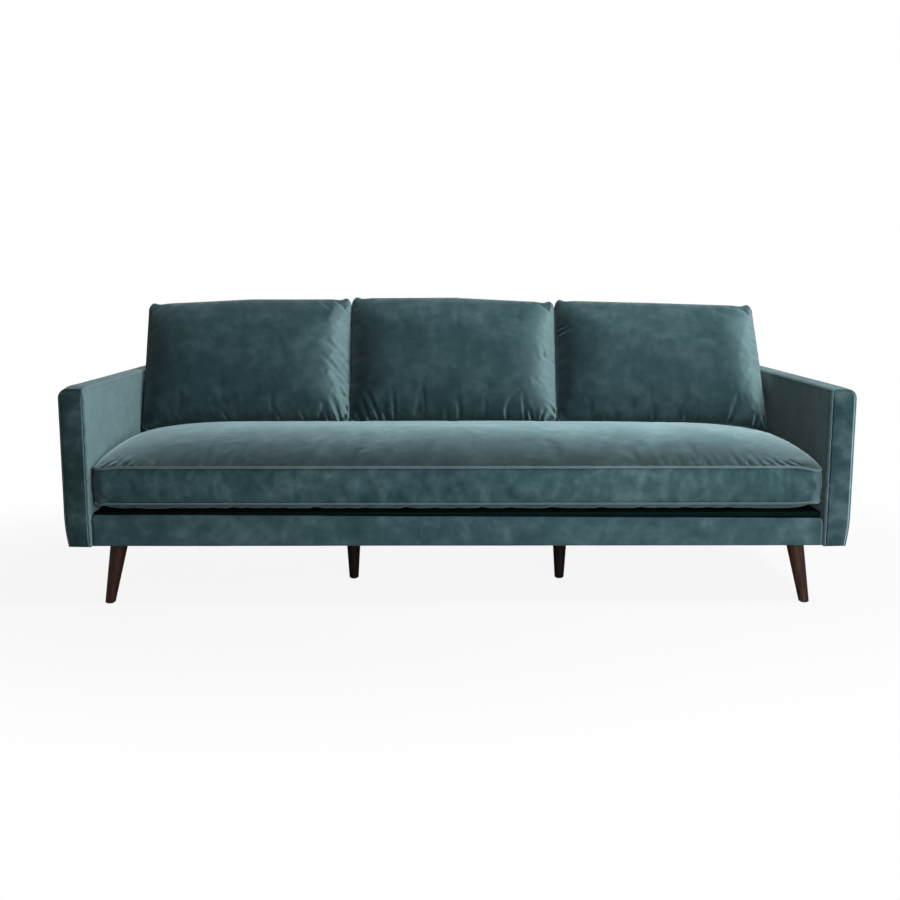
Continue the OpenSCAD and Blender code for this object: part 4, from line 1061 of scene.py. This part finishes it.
def surfaceWaves(points, seed):
    return sum(size * noiseAt(points, length, seed + k)
               for k, (length, size) in enumerate(clothPlan["waves"]))


def armStations():
    # places along the arm from front to rear, and the share by which its edges draw in at each
    turn = np.linspace(0, math.pi / 2, armPlan["edgeSteps"])
    edgeRun = armPlan["outerRound"] * (1 - np.cos(turn))
    edgeInset = 1 - np.sin(turn)
    count = int((rearY - frontY) / armPlan["step"])
    middle = np.linspace(frontY + edgeRun[-1], rearY - edgeRun[-1], count)[1:-1]
    stations = np.concatenate([frontY + edgeRun, middle, rearY - edgeRun[::-1]])
    return stations, np.concatenate([edgeInset, np.zeros(len(middle)), edgeInset[::-1]])


def armRings(loop, outward, rows, onSeam, seed, crown):
    # the skin between the end panels; each ring goes from the inner hem over the top to the outer hem
    plan = armPlan
    stations, insets = armStations()
    turned = smoothStep((np.arange(len(loop)) / rows - 1) * plan["roundTurns"])
    edge = plan["innerRound"] + (plan["outerRound"] - plan["innerRound"]) * turned
    rings = np.zeros((len(stations), len(loop), 3))
    flat = loop[None] - outward[None] * insets[:, None, None] * edge[None, :, None]
    rings[..., 0], rings[..., 2] = flat[..., 0], flat[..., 1]
    rings[..., 1] = stations[:, None]
    ends = np.minimum(stations - frontY, rearY - stations)
    lift = np.maximum(surfaceWaves(rings, seed), plan["leastWave"])
    lift *= smoothStep(ends / plan["puffReach"])[:, None]
    lift -= plan["bandGroove"] * onSeam[None]
    rings[..., 0] += outward[None, :, 0] * lift
    rings[..., 2] += outward[None, :, 1] * lift
    rise = np.interp(smoothStep(ends / plan["crownReach"]), (0, 1), crown)
    rings[..., 2] += rise[:, None] * smoothStep(1 - (armTop - rings[..., 2]) / plan["crownDepth"])
    return rings


def armOpenings(centres):
    # true for the faces of the inner side that lie below the seat or behind the inside back
    plan = armPlan
    x, y, z = centres.T
    underSeat = (y - frontY > plan["openingFront"]) & (z < plan["openingTop"])
    behindBack = ((y > rakedY(z) + plan["openingIn"]) & (z > plan["openingTop"])
                  & (z < armTop - plan["openingIn"]))
    onInner = x < armIn + plan["innerCorner"]
    return onInner & (y < rearY - plan["openingMargin"]) & (underSeat | behindBack)


def armPanel(ring, z, t, y, way, seed):
    # the panel at one end, a little puffed between its seams
    plan = armPlan
    across = np.minimum(t, 1 - t)[None, :] * 2
    upward = np.minimum(z - hem + plan["puffHem"], armTop - z + plan["puffTop"]) / plan["puffRise"]
    puff = plan["panelPuff"] * (1 - (1 - across) ** 2) * np.minimum(1, upward)[:, None]
    insideLine, outsideLine = ring[:len(z)], ring[::-1][:len(z)]
    panel = insideLine[:, None] * (1 - t)[None, :, None] + outsideLine[:, None] * t[None, :, None]
    panel[..., 1] = y + way * (puff + plan["capWaves"] * np.abs(surfaceWaves(panel, seed)) * across)
    panel[:, 0], panel[:, -1] = insideLine, outsideLine
    panel[-1] = ring[len(z) - 1:len(z) - 1 + len(t)]
    points, faces = panel.reshape(-1, 3), gridFaces(numbered(*panel.shape[:2]))
    return points, facingOut(points, faces, (armIn, 0, armTop / 2))


def armEdgeSeam(ring, outward, rows, way, seed):
    # the seam up the inner edge of an end panel
    plan = armPlan
    lean = np.stack([outward[:, 0], np.full(len(ring), way), outward[:, 1]], 1)
    wander = plan["seamWander"] * noiseAt(ring, plan["wanderSize"], seed)
    path = ring + np.stack([outward[:, 0], np.zeros(len(ring)), outward[:, 1]], 1) * wander[:, None]
    line, out = evenPath(path[:rows], lean[:rows], plan["seamStep"], closed=False)
    return sweepTube(line, out, *plan["innerSeam"], closed=False)


def makeArm(name, side, seed, crown):
    # both arms are drawn on the right, and the left one is mirrored; crown is the rise of its top edge at
    # its ends and along its middle
    plan = armPlan
    z, inner, outer = armOutline()
    t = np.linspace(0, 1, plan["columns"] + 1)
    outline = np.stack([inner[:, None] * (1 - t) + outer[:, None] * t, np.repeat(z[:, None], len(t), 1)], 2)
    loop = np.concatenate([outline[:, 0], outline[-1, 1:-1], outline[::-1, -1]])
    outward = leftOf(loop)
    onSeam = np.isclose(loop[:, 1], armTop - plan["bandSeam"]) & (np.arange(len(loop)) < len(z))
    rings = armRings(loop, outward, len(z), onSeam, seed, crown)
    points, quads = rings.reshape(-1, 3), gridFaces(numbered(*rings.shape[:2]))
    hidden = armOpenings(points[np.array(quads)].mean(1))
    sideFaces = [face for face, gone in zip(quads, hidden) if not gone]
    parts = [(points, facingOut(points, sideFaces, ((armIn + armOut) / 2, 0, (armTop + hem) / 2)))]
    seams = []
    first = plan["edgeSteps"] // 2
    last = -1 - first
    for ring, edgeRing, y, way in ((rings[0], rings[first], frontY, -1), (rings[-1], rings[last], rearY, 1)):
        parts.append(armPanel(ring, z, t, y, way, seed + 3))
        seams.append(armEdgeSeam(edgeRing, outward, len(z), way, seed + 5))
    # a thin dark tube along the top seam of the inner side: painted shade in the seam
    onLine = int(np.flatnonzero(onSeam)[0])
    line = rings[first:last, onLine]
    lineOut = np.repeat([[outward[onLine, 0], 0, outward[onLine, 1]]], len(line), 0)
    seams.append(sweepTube(line, lineOut, *plan["seamShadeLine"], closed=False))
    verts, faces = joinParts(parts)
    seamVerts, seamFaces = joinParts(seams)
    if side < 0:
        verts[:, 0] *= -1
        seamVerts[:, 0] *= -1
        faces, seamFaces = flipped(faces), flipped(seamFaces)
    piece = newPiece(name + "_arm_upholstery", verts, faces, "sofa_frame", [velvetFrame],
                     [name + "_arm_cover"])
    thicken(piece, clothPlan["thickness"])
    seam = newPiece(name + "_arm_seams", seamVerts, seamFaces, "sofa_frame", [velvetSeam, liningAndPaintedShade])
    lineFaces = len(seams[-1][1])
    shareOut(seam, (0, len(seamFaces) - lineFaces), (1, lineFaces))
    print(name, "arm upholstered")


makeArm("left", side=-1, seed=11, crown=(0.0025, 0.0070))
makeArm("right", side=1, seed=23, crown=(0.0005, 0.0020))


# upholstery of the back and of the front rail

def arcPoints(centre, radius, start, end, count):
    angles = np.radians(np.linspace(start, end, count))
    return np.stack([centre[0] + radius * np.cos(angles), centre[1] + radius * np.sin(angles)], 1)


def evenProfile(corners, step):
    # points of a side view at about even steps, through all its corners
    out = [corners[0]]
    for a, b in zip(corners[:-1], corners[1:]):
        count = max(1, int(np.linalg.norm(b - a) / step))
        out += [a + (b - a) * k / count for k in range(1, count + 1)]
    return np.array(out)


coverPlan = {
    "step": 0.011, "backTopRound": 0.0087, "rearRound": 0.005, "waveReach": 0.02, "centreDown": 0.02,
    "topArcPoints": 6, "rearArcPoints": 5, "railArcPoints": 9,
    # the last rows of the rail's profile, over its top strip, take the dark cloth: partly the real deck cloth
    # sewn there, partly painted shade under the seat cushion
    "railRound": 0.010, "railSteps": (0.006, 0.009), "railStripTo": deckLow.y - 0.0004, "railShadeRows": 4,
    "railArmGap": 0.0004, "railEndRound": 0.012, "endDrop": 0.7, "railTilt": (0.009, -0.003),
    "weltWidth": 0.0050, "weltHeight": 0.0040, "weltStep": 0.008, "weltIn": 0.3,
}


def sweepCover(name, profile, half, step, seed, replaces, velvet, endRound=0.0, lining=0, tilt=(0.0, 0.0)):
    # cloth pulled over a side view from one end to the other; the profile runs with its outside on its left
    xs = np.linspace(-half, half, int(2 * half / step))
    outward = leftOf(profile)
    table = np.zeros((len(profile), len(xs), 3))
    table[..., 0] = xs[None]
    table[..., 1], table[..., 2] = profile[:, 0, None], profile[:, 1, None]
    ends = half - np.abs(xs)
    lift = surfaceWaves(table, seed) * smoothStep(ends / coverPlan["waveReach"])[None]
    table[..., 1] += outward[:, 0, None] * lift
    table[..., 2] += outward[:, 1, None] * lift
    if endRound:
        drop = endRound * (1 - np.sqrt(1 - np.clip(1 - ends / endRound, 0, 1) ** 2))
        share = smoothStep((table[..., 2] - hem) / (profile[:, 1].max() - hem))
        table[..., 2] += (np.interp(xs, (-half, half), tilt) - drop * coverPlan["endDrop"])[None] * share
    verts = table.reshape(-1, 3)
    centre = (0, profile[:, 0].mean(), profile[:, 1].mean() - coverPlan["centreDown"])
    faces = facingOut(verts, gridFaces(numbered(*table.shape[:2])), centre)
    # a profile may end in rows of the dark cloth, used as painted shade on the rail's top strip
    piece = newPiece(name, verts, faces, "sofa_frame", [velvet, liningAndPaintedShade] if lining else [velvet], replaces)
    shadeLined = lining * (len(xs) - 1)
    shareOut(piece, (0, len(faces) - shadeLined), (1, shadeLined))
    thicken(piece, clothPlan["thickness"])
    print(name, "made")


def makeBackUpholstery():
    plan = coverPlan
    lean = math.degrees(math.atan2(armTop - insideBack["footZ"], insideBack["topY"] - insideBack["footY"]))
    r, e = plan["backTopRound"], plan["rearRound"]
    topCentre = (insideBack["topY"] + r * math.tan(math.radians(lean / 2)), armTop - r)
    corners = [np.array([insideBack["footY"], insideBack["footZ"]])]
    corners += list(arcPoints(topCentre, r, 90 + lean, 90, plan["topArcPoints"]))
    corners += list(arcPoints((rearY - e, armTop - e), e, 90, 0, plan["rearArcPoints"]))
    corners.append(np.array([rearY, hem]))
    profile = evenProfile(np.array(corners), plan["step"])
    sweepCover("back_upholstery", profile, armIn, plan["step"], seed=31, replaces=["back_cover"],
               velvet=velvetFrame)
    # welts up the two ends and along the rear top edge; each point has the way that it stands out
    edgeY, edgeZ = rearY - e * plan["weltIn"], armTop - e * plan["weltIn"]
    path = [(armIn, rearY, hem), (armIn, rearY, armTop - 2 * e), (armIn, edgeY, edgeZ),
            (armIn, rearY - 2 * e, armTop), (armIn, insideBack["topY"] + 2 * r, armTop)]
    out = [(0, 1, 0), (0, 1, 0), (0, 1, 1), (0, 0, 1), (0, 0, 1)]
    lines = [(np.array(path) * [side, 1, 1], out) for side in (-1, 1)]
    lines.append(([(-armIn, edgeY, edgeZ), (armIn, edgeY, edgeZ)], [(0, 1, 1), (0, 1, 1)]))
    parts = [sweepTube(*evenPath(line, ways, plan["weltStep"], closed=False), plan["weltWidth"],
                       plan["weltHeight"], closed=False) for line, ways in lines]
    newPiece("back_seams", *joinParts(parts), "sofa_frame", [velvetSeam])


def makeRailUpholstery():
    plan = coverPlan
    r = plan["railRound"]
    profileStep, step = plan["railSteps"]
    corners = [np.array([railLow.y, hem])]
    corners += list(arcPoints((railLow.y + r, railHigh.z - r), r, 180, 90, plan["railArcPoints"]))
    corners.append(np.array([plan["railStripTo"], railHigh.z]))
    profile = evenProfile(np.array(corners), profileStep)
    sweepCover("rail_upholstery", profile, armIn - plan["railArmGap"], step, seed=47,
               replaces=["rail_cover", "rail_padding"], velvet=velvetRail, endRound=plan["railEndRound"],
               lining=plan["railShadeRows"], tilt=plan["railTilt"])


makeBackUpholstery()
makeRailUpholstery()


# finishes of the pieces that stay as the frame has them

def bothSides(*names):
    return [side + name for side in ("left_", "right_") for name in names]


nodeFinishes = {
    "walnut": bothSides("front_leg", "rear_leg"),
    # the centre legs take the darker walnut, painted shade under the sofa
    "walnut_painted_shade": bothSides("centre_leg"),
    "beech": ["front_rail", "rear_rail", "outside_back_rail", "cross_stretchers", "corner_blocks",
              "back_top_rail", "back_lower_rail",
              *bothSides("end_rail", "front_post", "rear_post", "arm_top_rail")],
    "birch_ply": ["back_uprights"],
    "hardboard": ["outside_back_board", *bothSides("inner_board", "outer_board")],
    "webbing": ["back_webbing"],
    "hessian": ["spring_cloth"],
    "foam": ["deck_pad", "back_padding", *bothSides("arm_padding")],
    "lining_and_painted_shade": ["deck_lining", "dust_cover"],
    "spring_steel": ["seat_springs", "spring_clips", "tie_wires"],
    "zinc_steel": ["leg_plates", "plate_screws", "leg_bolts"],
    "glide_felt": ["leg_glides"],
}
for finish, nodeNames in nodeFinishes.items():
    for nodeName in nodeNames:
        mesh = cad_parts[nodeName].data
        mesh.materials.clear()
        mesh.materials.append(bpy.data.materials[finish])
print("finishes set")
